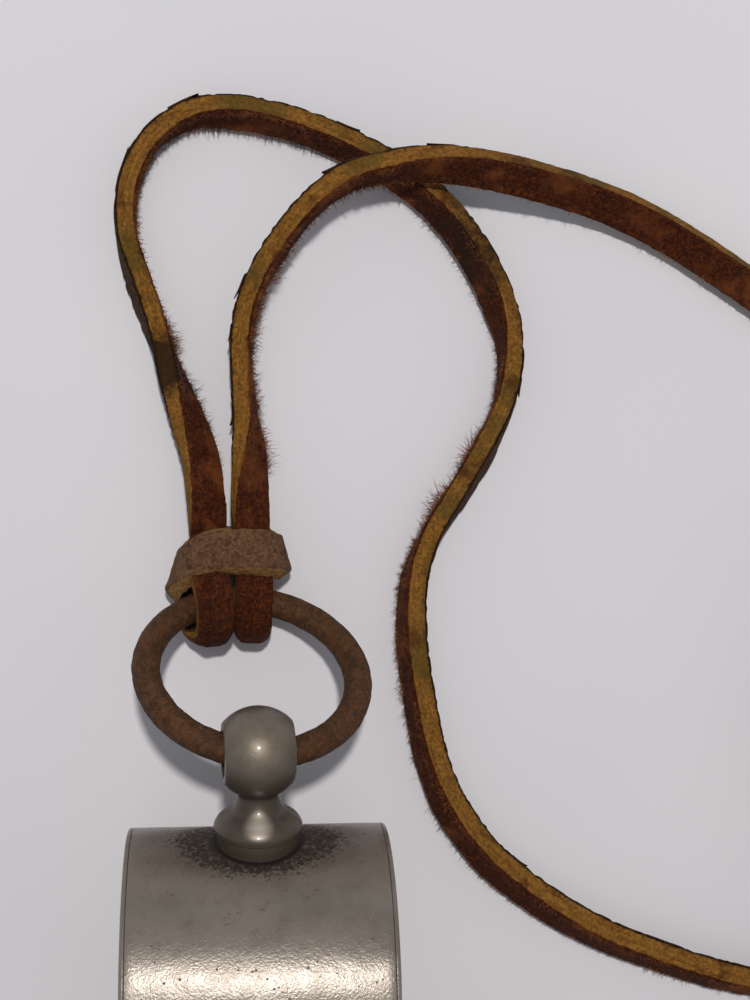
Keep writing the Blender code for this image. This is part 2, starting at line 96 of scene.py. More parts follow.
PEA_RADIUS = 5.9 * MM

# Loop post and ring
FLANGE_RADIUS = 3.28 * MM
FLANGE_TOP = 13.2 * MM
FLANGE_EDGE = 12.82 * MM
POST_FOOT = 11.5 * MM
NECK_RADIUS = 1.55 * MM
BALL_DISTANCE = 18.9 * MM
BALL_RADIUS = 3.4 * MM
BALL_HALF_FLATS = 2.58 * MM
BORE_RADIUS = 1.75 * MM
RING_RADIUS = 8.15 * MM
WIRE_RADIUS = 1.1 * MM
RING_SLOPE_DEG = 52.3
RING_SKEW_DEG = -5.6
WIRE_OFFSET_IN_BORE = 0.2 * MM

# Lace: its section, the heights of its parts, and where it passes from one thickness to another,
# as distances along it from the nearer strap
LACE_WIDTH = 2.9 * MM
LACE_THICKNESS = 1.4 * MM
SEEN_THICKNESS = 1.7 * MM
LOOSE_EXTRA = 0.25 * MM
LACE_CORNER = 0.22 * MM
LACE_X = {"left": -3.7 * MM, "right": -0.25 * MM}
JOINT_Y = 39.4 * MM
TAIL_END_Y = 42.3 * MM
TAIL_Z = 2.55 * MM
STRAP_Z = 4.1 * MM
LAID_Z = 1.53 * MM
HUMP_Z = 4.85 * MM
LACE_CLEARANCE = 0.05 * MM
LOWEST_LEATHER = 0.02 * MM
STRAP_ENDS = (4 * MM, 9 * MM)
STRAP_SETTLES = (4 * MM, 13 * MM)
LOOSE_STARTS = (85 * MM, 105 * MM)
RIGHT_GOES_THIN = (85 * MM, 95 * MM)
LEFT_GOES_THIN = (176 * MM, 186 * MM)

# Folds of the lace's ends round the wire
FOLD_RING_DEG = {"left": -23.2, "right": 2.6}
FOLD_BELOW = 2.32 * MM
FOLD_ABOVE = {"left": 2.6 * MM, "right": 2.4 * MM}
FOLD_AHEAD = 2.7 * MM
FOLD_LEAVES_DEG = 135
FOLD_SKEW = {"left": 0.7 * MM, "right": -0.25 * MM}
FOLD_SOIL = 0.18
FOLD_STAIN = {"left": 0.42, "right": 0.1}
FOLD_STAIN_AT = Vector((0.1, -0.3, 2.6)) * MM
FOLD_STAIN_RADIUS = 1.6 * MM

# Keeper: its outline is given as shares of its half width and of its height
KEEPER_WALL = 1.1 * MM
KEEPER_HALF_LENGTH = 1.6 * MM
KEEPER_CORNER = 0.25 * MM
KEEPER_FRONT_MM = 37.35
KEEPER_BACK_MM = 40.3
KEEPER_STEPS = 12
KEEPER_OUTLINE = (
    (0.0, 1.02), (0.35, 1.01), (0.68, 0.975), (0.89, 0.84), (0.98, 0.55), (1.0, 0.22), (0.92, 0.02),
    (0.5, 0.0), (-0.5, 0.0), (-0.95, 0.02), (-1.05, 0.22), (-1.0, 0.52), (-0.88, 0.80), (-0.66, 0.96),
    (-0.35, 1.01),
)

# Loose fibres: where they grow, by distance from the strap, and their shape, with each ring's
# share of the length and of the width
FIBRE_COUNT = 9000
FUZZ_STARTS = 5.5 * MM
LEFT_FUZZ_ENDS = 165 * MM
RIGHT_FUZZ_ENDS = 80 * MM
FUZZ_LEAST = 0.25
FIBRE_RINGS = ((0.0, 1.0), (0.4, 0.8), (0.75, 0.5))
FIBRE_WIDTH_MM = (0.018, 0.034)
FIBRE_LENGTH_MM = (0.2, 0.5)
TUFT_LENGTH_MM = 0.95
FIBRE_BEND = 0.55
LOWEST_TIP = 0.03 * MM

# Flakes that lift off the grain side
FLAKE_LENGTH_MM = (1.6, 2.8)
FLAKE_HEIGHT_MM = (1.0, 1.8)
FLAKE_LIFT_MM = (0.10, 0.22)
FLAKE_THICKNESS = 0.14 * MM

# Worn places along the lace: distance from the strap in mm, half length in mm, and amount
LEFT_SOIL = ((15, 3, 0.95), (22, 5, 0.3), (64, 7, 0.62), (45, 8, 0.2))
RIGHT_SOIL = ((11, 3, 0.3), (26, 5, 0.3))
LEFT_TUFTS = ((12, 3, 0.7), (17, 2.2, 1.0), (30, 6, 0.3), (42, 8, 0.45), (61, 3, 0.3), (76, 3, 0.35),
              (82, 1.8, 1.2), (87, 2, 1.5), (93, 3, 0.7), (101, 5, 0.4), (112, 8, 0.2))
RIGHT_TUFTS = ((7.5, 2, 1.1), (12, 3, 0.7), (17, 3, 0.8), (22, 4, 0.8), (33, 4, 0.5))
LEFT_FLAKES = (20, 30, 36, 49, 75, 79, 119)
RIGHT_FLAKES = (11, 18, 22, 33, 41)

# Coil of the stored length
COIL_CENTRE = Vector((64.0, 21.5, 0.0)) * MM
COIL_OUTER = 19.1 * MM
COIL_INNER = 13.7 * MM
COIL_PITCH = 1.55 * MM
COIL_UPPER_Z = 4.7 * MM
COIL_START_DEG = -90.0
COIL_END_DEG = 60.0 + 7 * 360.0
COIL_POINT_DEG = 15.0
CLIMB_DEG = 180.0

# How finely the lace's line is drawn: curve points between two route points, and the step kept
ROUTE_STEPS = 16
LACE_STEP = 0.33 * MM
FOLD_STEPS = 10
FOLD_STEP = 0.16 * MM

# Routes from the straps to the coil: x, y, z in mm, and how far the flesh side is turned up, in degrees
LAID = LAID_Z / MM
HUMP = HUMP_Z / MM
LEFT_ROUTE = (
    (-3.7, 39.4, 4.1, 90), (-3.85, 42.4, 4.1, 66), (-4.35, 46.1, 2.5, 52), (-5.15, 48.5, 1.8, 38),
    (-6.4, 52.0, LAID, 14), (-7.75, 56.0, LAID, -8), (-9.15, 60.0, LAID, -14), (-10.15, 64.0, LAID, -3),
    (-9.9, 67.9, LAID, 0), (-8.2, 71.3, LAID, 0), (-5.0, 73.4, LAID, 10), (-1.0, 73.6, LAID, 23),
    (3.7, 72.6, LAID, 21), (7.8, 71.0, LAID, 21), (11.8, 68.8, LAID, 25), (15.2, 66.1, LAID, 29),
    (17.9, 62.6, LAID, 31), (19.9, 58.6, LAID, 28), (20.9, 54.7, LAID, 6), (20.6, 50.9, LAID, -4),
    (18.91, 46.79, LAID, -15), (16.68, 42.99, LAID, -15), (14.38, 39.49, LAID, -6),
    (13.07, 36.0, LAID, 6), (12.81, 31.1, LAID, 14), (13.43, 26.31, LAID, 16), (14.41, 21.3, LAID, 22),
    (16.11, 17.1, LAID, 30), (19.0, 13.11, LAID, 34), (23.2, 9.59, LAID, 34), (28.2, 6.6, LAID, 30),
    (34.01, 4.2, LAID, 29), (40.8, 2.15, LAID, 25), (47.0, 1.44, LAID, 20), (53.2, 1.9, LAID, 8),
)
RIGHT_ROUTE = (
    (-0.25, 39.4, 4.1, 90), (-0.4, 42.4, 4.1, 64), (-0.4, 46.1, 2.5, 38), (-0.6, 48.5, 1.8, 16),
    (-0.95, 52.0, 1.6, 5), (-1.0, 55.7, 2.2, 4), (-0.1, 59.3, 3.2, 8), (1.65, 62.45, 4.2, 9),
    (4.05, 65.45, 4.8, 9), (7.1, 67.9, HUMP, 12), (10.9, 68.9, HUMP, 20), (14.5, 69.15, HUMP, 34),
    (19.0, 68.75, 4.3, 48), (23.9, 67.85, 3.1, 55), (28.8, 66.5, 2.1, 57), (33.8, 64.3, LAID, 57),
    (40.5, 60.1, LAID, 64), (48.0, 55.0, LAID, 96), (56.5, 49.0, 2.0, 136), (64.2, 43.9, 3.2, 165),
)

joints = {joint["name"]: joint for joint in frame["joints"]}
BALL = Vector(joints["whistle_swing"]["pos_m"])
BORE_AXIS = Vector(joints["whistle_swing"]["axis"]).normalized()
BARREL_CENTRE = Vector(joints["pea_roll"]["pos_m"])
POST_DIRECTION = (BALL - BARREL_CENTRE).normalized()


def resting_tilt():
    """How far the nose hangs: barrel and the collar's lower corner both touch the surface."""
    reach = -TIP_Y + COLLAR_PROUD
    height = TIP_BOTTOM_Z - SEAM - COLLAR_WALL
    return math.asin(BARREL_RADIUS / math.hypot(reach, height)) + math.atan2(height, reach)


TILT = resting_tilt()
BARREL_FRAME = Matrix.Translation(BARREL_CENTRE) @ Matrix.Rotation(TILT, 4, "X")


def ring_axes():
    """Along the wire at the ball, towards the ring's low end, and the ring's normal."""
    along = (BORE_AXIS + POST_DIRECTION * math.sin(math.radians(RING_SKEW_DEG))).normalized()
    slope = math.radians(RING_SLOPE_DEG)
    down = Vector((0.0, math.cos(slope), -math.sin(slope)))
    down = (down - along * down.dot(along)).normalized()
    return along, down, along.cross(down)


RING_ALONG, RING_DOWN, RING_NORMAL = ring_axes()
RING_CENTRE = BALL + RING_DOWN * (RING_RADIUS - WIRE_OFFSET_IN_BORE)


# ---- camera, floor and light


def put_in_scene(thing):
    bpy.context.scene.collection.objects.link(thing)
    return thing


def add_camera():
    data = bpy.data.cameras.new("camera")
    data.lens = CAMERA_LENS_MM
    data.sensor_width = CAMERA_SENSOR_MM
    data.clip_start = 5 * MM
    camera = bpy.data.objects.new("camera", data)
    camera.rotation_mode = "ZYX"
    camera.rotation_euler = [math.radians(angle) for angle in CAMERA_TURN_DEG]
    camera.location = CAMERA_PLACE
    bpy.context.scene.camera = put_in_scene(camera)


def add_floor(look):
    bpy.ops.mesh.primitive_plane_add(size=FLOOR_SIZE)
    floor = bpy.context.object
    floor.name = "floor"
    floor.data.materials.append(look)


def add_key_light():
    data = bpy.data.lights.new("key", "AREA")
    data.shape = "DISK"
    data.size = KEY_DIAMETER
    data.energy = KEY_POWER
    data.color = KEY_COLOUR
    light = bpy.data.objects.new("key", data)
    light.location = KEY_PLACE
    light.rotation_euler = (KEY_TARGET - KEY_PLACE).to_track_quat("-Z", "Y").to_euler()
    put_in_scene(light)


def add_world():
    world = bpy.data.worlds.new("studio")
    world.use_nodes = True
    background = world.node_tree.nodes["Background"]
    background.inputs["Color"].default_value = WORLD_COLOUR
    background.inputs["Strength"].default_value = WORLD_STRENGTH
    bpy.context.scene.world = world


# ---- materials


def paint(red, green, blue):
    """A colour given on the 0 to 255 scale of a screen, made linear."""
    def linear(value):
        share = value / 255
        return share / 12.92 if share <= 0.04045 else ((share + 0.055) / 1.055) ** 2.4
    return (linear(red), linear(green), linear(blue), 1.0)


class Look:
    """One procedural material, built node by node."""

    def __init__(self, name, **constants):
        self.material = bpy.data.materials.new(name)
        self.material.use_nodes = True
        self.tree = self.material.node_tree
        self.shader = self.tree.nodes["Principled BSDF"]
        self.place = self.tree.nodes.new("ShaderNodeTexCoord").outputs["Object"]
        for socket, value in constants.items():
            self.shader.inputs[socket.replace("_", " ")].default_value = value

    def feed(self, socket, value):
        if isinstance(value, bpy.types.NodeSocket):
            self.tree.links.new(value, socket)
        else:
            socket.default_value = value

    def node(self, kind, inputs):
        """A new node, with a value or a link for each of its inputs."""
        made = self.tree.nodes.new(kind)
        for socket, value in inputs.items():
            self.feed(made.inputs[socket], value)
        return made

    def stretched(self, scale):
        return self.node("ShaderNodeMapping", {"Vector": self.place, "Scale": scale}).outputs["Vector"]

    def noise(self, per_mm, detail=4.0, roughness=0.6, warp=0.0, place=None):
        inputs = {"Vector": place or self.place, "Scale": per_mm / MM, "Detail": detail,
                  "Roughness": roughness, "Distortion": warp}
        return self.node("ShaderNodeTexNoise", inputs).outputs["Fac"]

    def cells(self, per_mm):
        inputs = {"Vector": self.place, "Scale": per_mm / MM}
        return self.node("ShaderNodeTexVoronoi", inputs).outputs["Distance"]

    def streaks(self, along_per_mm, round_per_mm):
        """Noise drawn out along the lace: uses its distances along and round the lace."""
        inputs = {"X": self.times(self.attribute("reach"), along_per_mm),
                  "Y": self.times(self.attribute("girth"), round_per_mm)}
        return self.noise(MM, 4, 0.7, 0.3, self.node("ShaderNodeCombineXYZ", inputs).outputs["Vector"])

    def between(self, value, low, high, first=0.0, last=1.0):
        """Runs smoothly from first to last as the value goes from low to high."""
        inputs = {"Value": value, "From Min": low, "From Max": high, "To Min": first, "To Max": last}
        node = self.node("ShaderNodeMapRange", inputs)
        node.interpolation_type = "SMOOTHSTEP"
        return node.outputs["Result"]

    def mix(self, factor, first, second):
        node = self.tree.nodes.new("ShaderNodeMix")
        node.data_type = "RGBA"
        for socket, value in ((0, factor), (6, first), (7, second)):
            self.feed(node.inputs[socket], value)
        return node.outputs[2]

    def blend(self, value, low, high, first, second, most=1.0):
        """The first colour, passing into the second as the value goes from low to high."""
        return self.mix(self.between(value, low, high, 0.0, most), first, second)

    def near(self, point, inside, outside, stretch=(1.0, 1.0, 1.0)):
        """1 within a distance of a point, falling to 0 at the outer one."""
        scaled = Vector(a * b for a, b in zip(point, stretch))
        node = self.node("ShaderNodeVectorMath", {0: self.stretched(stretch), 1: scaled})
        node.operation = "DISTANCE"
        return self.between(node.outputs["Value"], inside, outside, 1.0, 0.0)

    def attribute(self, name):
        node = self.tree.nodes.new("ShaderNodeAttribute")
        node.attribute_name = name
        return node.outputs["Fac"]

    def reckon(self, operation, first, second):
        node = self.node("ShaderNodeMath", {0: first, 1: second})
        node.operation = operation
        return node.outputs[0]

    def times(self, first, second):
        return self.reckon("MULTIPLY", first, second)

    def plus(self, first, second):
        return self.reckon("ADD", first, second)

    def larger(self, first, second):
        return self.reckon("MAXIMUM", first, second)

    def ragged_side(self, per_mm, detail, roughness, amount):
        """The lace's side value, with a ragged border between one side and the next."""
        ragged = self.plus(self.noise(per_mm, detail, roughness), -0.5)
        return self.plus(self.attribute("side"), self.times(ragged, amount))

    def bump(self, height, depth, under=None):
        inputs = {"Distance": depth, "Height": height}
        if under:
            inputs["Normal"] = under
        return self.node("ShaderNodeBump", inputs).outputs["Normal"]

    def finish(self, colour=None, roughness=None, metallic=None, normal=None):
        for socket, value in (("Base Color", colour), ("Roughness", roughness),
                              ("Metallic", metallic), ("Normal", normal)):
            if value is not None:
                self.feed(self.shader.inputs[socket], value)
        return self.material


def paper_look():
    look = Look("pale_floor", Roughness=0.9)
    light, dim = (0.80, 0.785, 0.82, 1), (0.765, 0.755, 0.80, 1)
    return look.finish(look.blend(look.noise(0.02, 2), 0.3, 0.7, light, dim))


def nickel_look():
    """Worn nickel plate: dull, finely pitted, with brown grime round the post's foot and painted shade
    round the flange.
    """
    look = Look("worn_nickel", Specular_IOR_Level=0.35)
    foot = BARREL_CENTRE + POST_DIRECTION * BARREL_RADIUS
    bare, dull, warm = (0.245, 0.212, 0.183, 1), (0.190, 0.163, 0.138, 1), (0.165, 0.130, 0.098, 1)
    plate = look.blend(look.noise(0.22, 5), 0.35, 0.7, bare, dull)
    plate = look.blend(look.noise(0.9, 5, 0.7), 0.48, 0.72, plate, warm, 0.5)
    # Painted shade: a smooth dark brown darkening round the post's foot, drawn out along the barrel's
    # top, stands for the shade round the flange.
    painted_shade = look.near(foot, 1.0 * MM, 7.5 * MM, (0.3, 1.0, 1.0))
    plate = look.mix(look.times(painted_shade, 0.7), plate, (0.112, 0.084, 0.057, 1))
    near_foot = look.near(foot, 2.8 * MM, 7.0 * MM, (0.7, 1.0, 1.0))
    top_edge = look.near(foot, 1.5 * MM, 6.0 * MM, (0.22, 1.0, 1.0))
    # Painted shade: a thin near-black ring on the barrel just outside the flange's rim, where the flange
    # shades it.
    flange_edge_shade = look.near(foot, 3.3 * MM, 3.7 * MM)
    thick = look.plus(look.noise(0.9, 3), look.times(near_foot, 0.12))
    thick = look.plus(thick, look.times(top_edge, 0.08))
    specks = look.between(look.cells(1.9), 0.07, 0.22, 1.0, 0.0)
    specks = look.times(specks, look.between(thick, 0.50, 0.60))
    crust = look.plus(look.noise(3.0, 5, 0.85), -0.5)
    dirty = look.near(foot, 3.3 * MM, 6.0 * MM, (0.7, 1.0, 1.0))
    dirt = look.plus(look.times(dirty, 0.75), look.times(crust, 2.8))
    dirt = look.times(look.between(dirt, 0.38, 0.72), look.between(dirty, 0.0, 0.25))
    grime = look.larger(look.times(specks, 0.65), dirt)
    colour = look.mix(grime, plate, paint(48, 37, 26))
    # The painted shade ring at the flange's rim.
    colour = look.mix(flange_edge_shade, colour, paint(22, 17, 12))
    rough = look.between(look.noise(1.1, 5, 0.7), 0.3, 0.75, 0.27, 0.34)
    rough = look.plus(rough, look.times(grime, 0.4))
    metallic = look.between(look.larger(grime, flange_edge_shade), 0.1, 0.8, 0.33, 0.0)
    fine = look.bump(look.noise(5.5, 2, 0.6), 0.020 * MM)
    hammered = look.bump(look.noise(0.9, 3), 0.02 * MM, fine)
    pitted = look.bump(look.between(specks, 0.0, 1.0, 1.0, 0.0), 0.02 * MM, hammered)
    crusted = look.bump(look.times(dirt, crust), 0.12 * MM, pitted)
    return look.finish(colour, rough, metallic, crusted)


def post_look():
    """The turned post: nickel with dirt in the neck and verdigris beside the bore; painted shade under
    the ball and in the neck, the ball painted lighter at its top, and a painted highlight on the flange's
    cone.
    """
    look = Look("turned_nickel", Coat_Weight=0.25, Coat_Roughness=0.15, Specular_IOR_Level=0.3)
    foot = BARREL_CENTRE + POST_DIRECTION * (BARREL_RADIUS - 0.3 * MM)
    neck = BARREL_CENTRE + POST_DIRECTION * (FLANGE_TOP + 3.2 * MM)
    left_flat = BALL - BORE_AXIS * BALL_HALF_FLATS + Vector((0.0, 0.4 * MM, BORE_RADIUS))
    bare, dull = (0.225, 0.188, 0.148, 1), (0.172, 0.141, 0.108, 1)
    plate = look.blend(look.noise(0.5, 5), 0.35, 0.7, bare, dull)
    # Painted shade: a smooth darkening round the neck, over the ball's underside, stands for the shade
    # under the ball.
    painted_shade = look.near(neck, 1.4 * MM, 5.0 * MM)
    plate = look.mix(look.times(painted_shade, 0.9), plate, (0.072, 0.056, 0.040, 1))
    # Painted light and shade: the ball keeps its plate colour round its top, where the light falls, and
    # is painted darker towards its sides.
    lit_top = look.near(BALL + Vector((0.0, 1.2, 3.2)) * MM, 1.0 * MM, 4.6 * MM)
    plate = look.mix(look.between(lit_top, 0.0, 1.0, 0.85, 0.0), plate, (0.082, 0.067, 0.050, 1))
    # Painted highlight: a light spot on the top of the flange's cone.
    cone_highlight = BARREL_CENTRE + POST_DIRECTION * (FLANGE_TOP + 0.55 * MM) + Vector((0.0, 0.0, 2.7 * MM))
    plate = look.mix(look.near(cone_highlight, 0.2 * MM, 1.4 * MM), plate, (0.60, 0.52, 0.44, 1))
    dirt = look.larger(look.near(neck, 0.9 * MM, 2.6 * MM), look.near(foot, 3.0 * MM, 3.5 * MM))
    dirt = look.between(look.plus(dirt, look.noise(2.2, 6, 0.75)), 0.95, 1.45)
    colour = look.mix(look.times(dirt, 0.8), plate, paint(54, 43, 31))
    green = look.near(left_flat, 0.25 * MM, 1.2 * MM)
    green = look.between(look.plus(green, look.noise(2.0, 4)), 1.1, 1.35)
    colour = look.mix(look.times(green, 0.75), colour, paint(52, 92, 50))
    rough = look.between(look.noise(1.2, 5, 0.7), 0.3, 0.75, 0.42, 0.50)
    rough = look.plus(rough, look.times(dirt, 0.25))
    metallic = look.between(look.larger(dirt, green), 0.2, 1.0, 0.45, 0.1)
    fine = look.bump(look.noise(4.0, 3, 0.6), 0.010 * MM)
    return look.finish(colour, rough, metallic, look.bump(look.noise(1.0, 4), 0.012 * MM, fine))


def rust_look():
    """Old iron wire: dark brown scale with orange rust in patches."""
    look = Look("rusted_iron", Specular_IOR_Level=0.22)
    rust = look.blend(look.noise(1.1, 6, 0.8, 0.6), 0.36, 0.66, paint(60, 41, 24), paint(98, 62, 36))
    rust = look.blend(look.noise(3.0, 6, 0.8, 0.4), 0.52, 0.74, rust, paint(138, 90, 56), 0.65)
    colour = look.blend(look.noise(4.4, 5, 0.8), 0.50, 0.66, rust, paint(34, 26, 19), 0.75)
    rough = look.between(look.noise(1.3, 4), 0.3, 0.7, 0.6, 0.85)
    grains = look.bump(look.noise(5.0, 5, 0.8), 0.06 * MM)
    return look.finish(colour, rough, None, look.bump(look.noise(1.0, 4), 0.08 * MM, grains))


def lace_look():
    """Cracked leather: tan cut edges, a dark red-brown flesh side and a near-black grain side."""
    look = Look("lace_leather", Specular_IOR_Level=0.15)
    side = look.ragged_side(1.2, 6, 0.75, 1.1)
    fibres = look.noise(3.4, 6, 0.8, 0.6)
    strands = look.streaks(0.35, 4.5)
    edge = look.blend(fibres, 0.36, 0.64, paint(112, 74, 29), paint(176, 122, 52))
    edge = look.blend(strands, 0.50, 0.66, edge, paint(92, 58, 24), 0.45)
    edge = look.blend(strands, 0.46, 0.34, edge, paint(196, 146, 72), 0.35)
    edge = look.blend(look.noise(0.16, 3), 0.50, 0.64, edge, paint(92, 78, 34), 0.6)
    edge = look.blend(look.noise(0.30, 4), 0.54, 0.68, edge, paint(84, 48, 20), 0.8)
    flesh = look.blend(fibres, 0.4, 0.68, paint(53, 21, 8), paint(116, 56, 23))
    flesh = look.blend(strands, 0.50, 0.66, flesh, paint(40, 17, 8), 0.5)
    flesh = look.blend(look.noise(0.22, 4), 0.50, 0.68, flesh, paint(134, 75, 38), 0.8)
    grain = look.blend(fibres, 0.42, 0.66, paint(58, 38, 22), paint(108, 72, 42))
    grain = look.blend(side, -0.85, -0.6, grain, paint(30, 21, 14))
    colour = look.blend(side, 0.36, 0.62, edge, flesh)
    colour = look.blend(look.times(side, -1.0), 0.26, 0.5, colour, grain)
    soil = look.plus(look.attribute("soil"), look.noise(0.8, 5, 0.75))
    colour = look.blend(soil, 0.8, 1.2, colour, paint(46, 30, 19), 0.9)
    rough = look.between(side, -0.6, -0.2, 0.75, 0.9)
    hairs = look.bump(look.noise(8.0, 4, 0.8), 0.07 * MM)
    hairs = look.bump(strands, 0.15 * MM, hairs)
    return look.finish(colour, rough, None, look.bump(fibres, 0.18 * MM, hairs))


def fibre_look():
    look = Look("loose_fibres", Roughness=0.9)
    return look.finish(look.blend(look.noise(0.5, 3), 0.4, 0.62, paint(82, 38, 16), paint(142, 84, 40)))


def flake_look():
    look = Look("grain_flakes", Roughness=0.9, Specular_IOR_Level=0.15)
    colour = look.blend(look.noise(1.4, 4), 0.4, 0.65, paint(44, 30, 19), paint(92, 62, 36))
    return look.finish(colour, None, None, look.bump(look.noise(3.0, 4), 0.04 * MM))


def keeper_look():
    """Rough brown band with tan cut edges and an orange-brown inner side."""
    look = Look("keeper_leather", Roughness=0.9, Specular_IOR_Level=0.25)
    side = look.ragged_side(2.0, 5, 0.7, 0.5)
    fibres = look.noise(3.6, 6, 0.8)
    outer = look.blend(fibres, 0.36, 0.64, paint(84, 56, 36), paint(136, 101, 72))
    outer = look.blend(look.noise(1.0, 5, 0.75), 0.50, 0.68, outer, paint(88, 50, 32))
    edge = look.blend(fibres, 0.4, 0.65, paint(126, 88, 46), paint(180, 138, 84))
    inner = look.blend(fibres, 0.4, 0.65, paint(92, 46, 18), paint(150, 84, 36))
    colour = look.blend(side, 0.35, 0.75, edge, outer)
    colour = look.blend(look.times(side, -1.0), 0.4, 0.75, colour, inner)
    hairs = look.bump(look.noise(8.0, 4, 0.8), 0.07 * MM)
    return look.finish(colour, None, None, look.bump(fibres, 0.2 * MM, hairs))


def cork_look():
    look = Look("cork", Roughness=0.9)
    grain = look.blend(look.noise(0.9, 5), 0.35, 0.65, paint(150, 108, 66), paint(186, 146, 98))
    holes = look.between(look.cells(1.3), 0.10, 0.24, 1.0, 0.0)
    colour = look.mix(holes, grain, paint(84, 52, 30))
    return look.finish(colour, None, None, look.bump(look.between(holes, 0, 1, 1, 0), 0.2 * MM))


# ---- mesh helpers


def fractal(place, per_mm, octaves):
    """Smooth noise from about -1 to 1 that repeats its pattern on ever finer scales."""
    return noise.fractal(place * (per_mm / MM), 0.8, 2.0, octaves)


def make_piece(name, points, faces, look, sharp_deg, **values):
    """A smooth-shaded mesh piece; each extra value is a number kept on every point."""
    data = bpy.data.meshes.new(name)
    data.from_pydata([tuple(p) for p in points], [], faces)
    for value_name, numbers in values.items():
        layer = data.attributes.new(value_name, "FLOAT", "POINT")
        layer.data.foreach_set("value", np.asarray(numbers, np.float32))
    mesh = bmesh.new()
    mesh.from_mesh(data)
    bmesh.ops.recalc_face_normals(mesh, faces=mesh.faces)
    mesh.to_mesh(data)
    mesh.free()
    data.shade_smooth()
    data.set_sharp_from_angle(angle=math.radians(sharp_deg))
    data.materials.append(look)
    return put_in_scene(bpy.data.objects.new(name, data))


def tube_faces(rings, around, closed=False):
    """Faces of a tube of rings, each of the same number of points, with flat ends."""
    faces = []
    for i in range(rings if closed else rings - 1):
        near, far = i * around, (i + 1) % rings * around
        for k in range(around):
            j = (k + 1) % around
            faces.append((near + k, near + j, far + j, far + k))
    if not closed:
        faces.append(tuple(range(around - 1, -1, -1)))
        faces.append(tuple(range((rings - 1) * around, rings * around)))
    return faces


def rounded_section(half_a, half_b, radius, steps_a, steps_b):
    """A rounded rectangle as rows of (a, b, outward a, outward b), going round once."""
    a, b = half_a - radius, half_b - radius
    rows = []
    sides = (((a, -b), (a, b), (1, 0), steps_b), ((a, b), (-a, b), (0, 1), steps_a),
             ((-a, b), (-a, -b), (-1, 0), steps_b), ((-a, -b), (a, -b), (0, -1), steps_a))
    for i, (start, end, out, steps) in enumerate(sides):
        for k in range(steps + 1):
            share = k / steps
            at = (start[0] + (end[0] - start[0]) * share, start[1] + (end[1] - start[1]) * share)
            rows.append((at[0] + out[0] * radius, at[1] + out[1] * radius, out[0], out[1]))
        turned = sides[(i + 1) % 4][2]
        for k in (1, 2):
            angle = math.radians(30 * k)
            lean = (out[0] * math.cos(angle) + turned[0] * math.sin(angle),
                    out[1] * math.cos(angle) + turned[1] * math.sin(angle))
            rows.append((end[0] + lean[0] * radius, end[1] + lean[1] * radius, *lean))
    return rows


def arc(radius, start_deg, end_deg, step_deg):
    steps = max(1, round(abs(end_deg - start_deg) / step_deg))
    angles = [math.radians(start_deg + (end_deg - start_deg) * i / steps) for i in range(steps + 1)]
    return [Vector((radius * math.cos(a), radius * math.sin(a))) for a in angles]


def spline_through(rows, per_span):
    """A smooth curve (centripetal Catmull-Rom) through rows whose first three numbers are a place."""
    rows = np.asarray(rows, float)
    rows = np.vstack([2 * rows[0] - rows[1], rows, 2 * rows[-1] - rows[-2]])
    curve = []
    for p0, p1, p2, p3 in zip(rows, rows[1:], rows[2:], rows[3:]):
        t1 = np.linalg.norm((p1 - p0)[:3]) ** 0.5
        t2 = t1 + np.linalg.norm((p2 - p1)[:3]) ** 0.5
        t3 = t2 + np.linalg.norm((p3 - p2)[:3]) ** 0.5
        t = np.linspace(t1, t2, per_span, endpoint=False)[:, None]
        a1 = p0 * (t1 - t) / t1 + p1 * t / t1
        a2 = p1 * (t2 - t) / (t2 - t1) + p2 * (t - t1) / (t2 - t1)
        a3 = p2 * (t3 - t) / (t3 - t2) + p3 * (t - t2) / (t3 - t2)
        b1 = a1 * (t2 - t) / t2 + a2 * t / t2
        b2 = a2 * (t3 - t) / (t3 - t1) + a3 * (t - t1) / (t3 - t1)
        curve.append(b1 * (t2 - t) / (t2 - t1) + b2 * (t - t1) / (t2 - t1))
    return np.vstack([*curve, rows[-2]])


def unit(rows):
    """Each row scaled to a length of 1."""
    return rows / np.linalg.norm(rows, axis=1)[:, None]


def evenly_spaced(curve, spacing):
    """The curve's rows at even distances along its first three columns, both ends kept."""
    reach = np.concatenate([[0], np.cumsum(np.linalg.norm(np.diff(curve[:, :3], axis=0), axis=1))])
    wanted = np.linspace(0, reach[-1], max(2, round(reach[-1] / spacing) + 1))
    return np.column_stack([np.interp(wanted, reach, column) for column in curve.T]), wanted


# ---- the lace


def coil_rows():
    """The coil's turns: inwards on the surface, up at the inner side, and outwards on top."""
    rows = []
    climb_start = COIL_START_DEG + 360 * (COIL_OUTER - COIL_INNER) / COIL_PITCH
    climb_end = climb_start + CLIMB_DEG
    count = round((COIL_END_DEG - COIL_START_DEG) / COIL_POINT_DEG)
    for i in range(count + 1):
        degrees = COIL_START_DEG + (COIL_END_DEG - COIL_START_DEG) * i / count
        inwards = COIL_OUTER - COIL_PITCH * (degrees - COIL_START_DEG) / 360
        outwards = COIL_INNER + COIL_PITCH * (degrees - climb_end) / 360
        radius = max(inwards, COIL_INNER, outwards)
        share = min(1.0, max(0.0, (degrees - climb_start) / CLIMB_DEG))
        height = LAID_Z + (COIL_UPPER_Z - LAID_Z) * (3 * share ** 2 - 2 * share ** 3)
        angle = math.radians(degrees)
        rows.append((COIL_CENTRE.x + radius * math.cos(angle),
                     COIL_CENTRE.y + radius * math.sin(angle), height, 0.0))
    return rows


def eased_share(value, low, high):
    """Runs smoothly from 0 to 1 as the value goes from low to high."""
    share = np.clip((value - low) / (high - low), 0, 1)
    return share * share * (3 - 2 * share)


def eased_stretch(value, start, end):
    """Runs smoothly from 0 to 1 over the start's two values, and back to 0 over the end's two."""
    return eased_share(value, *start) * (1 - eased_share(value, *end))


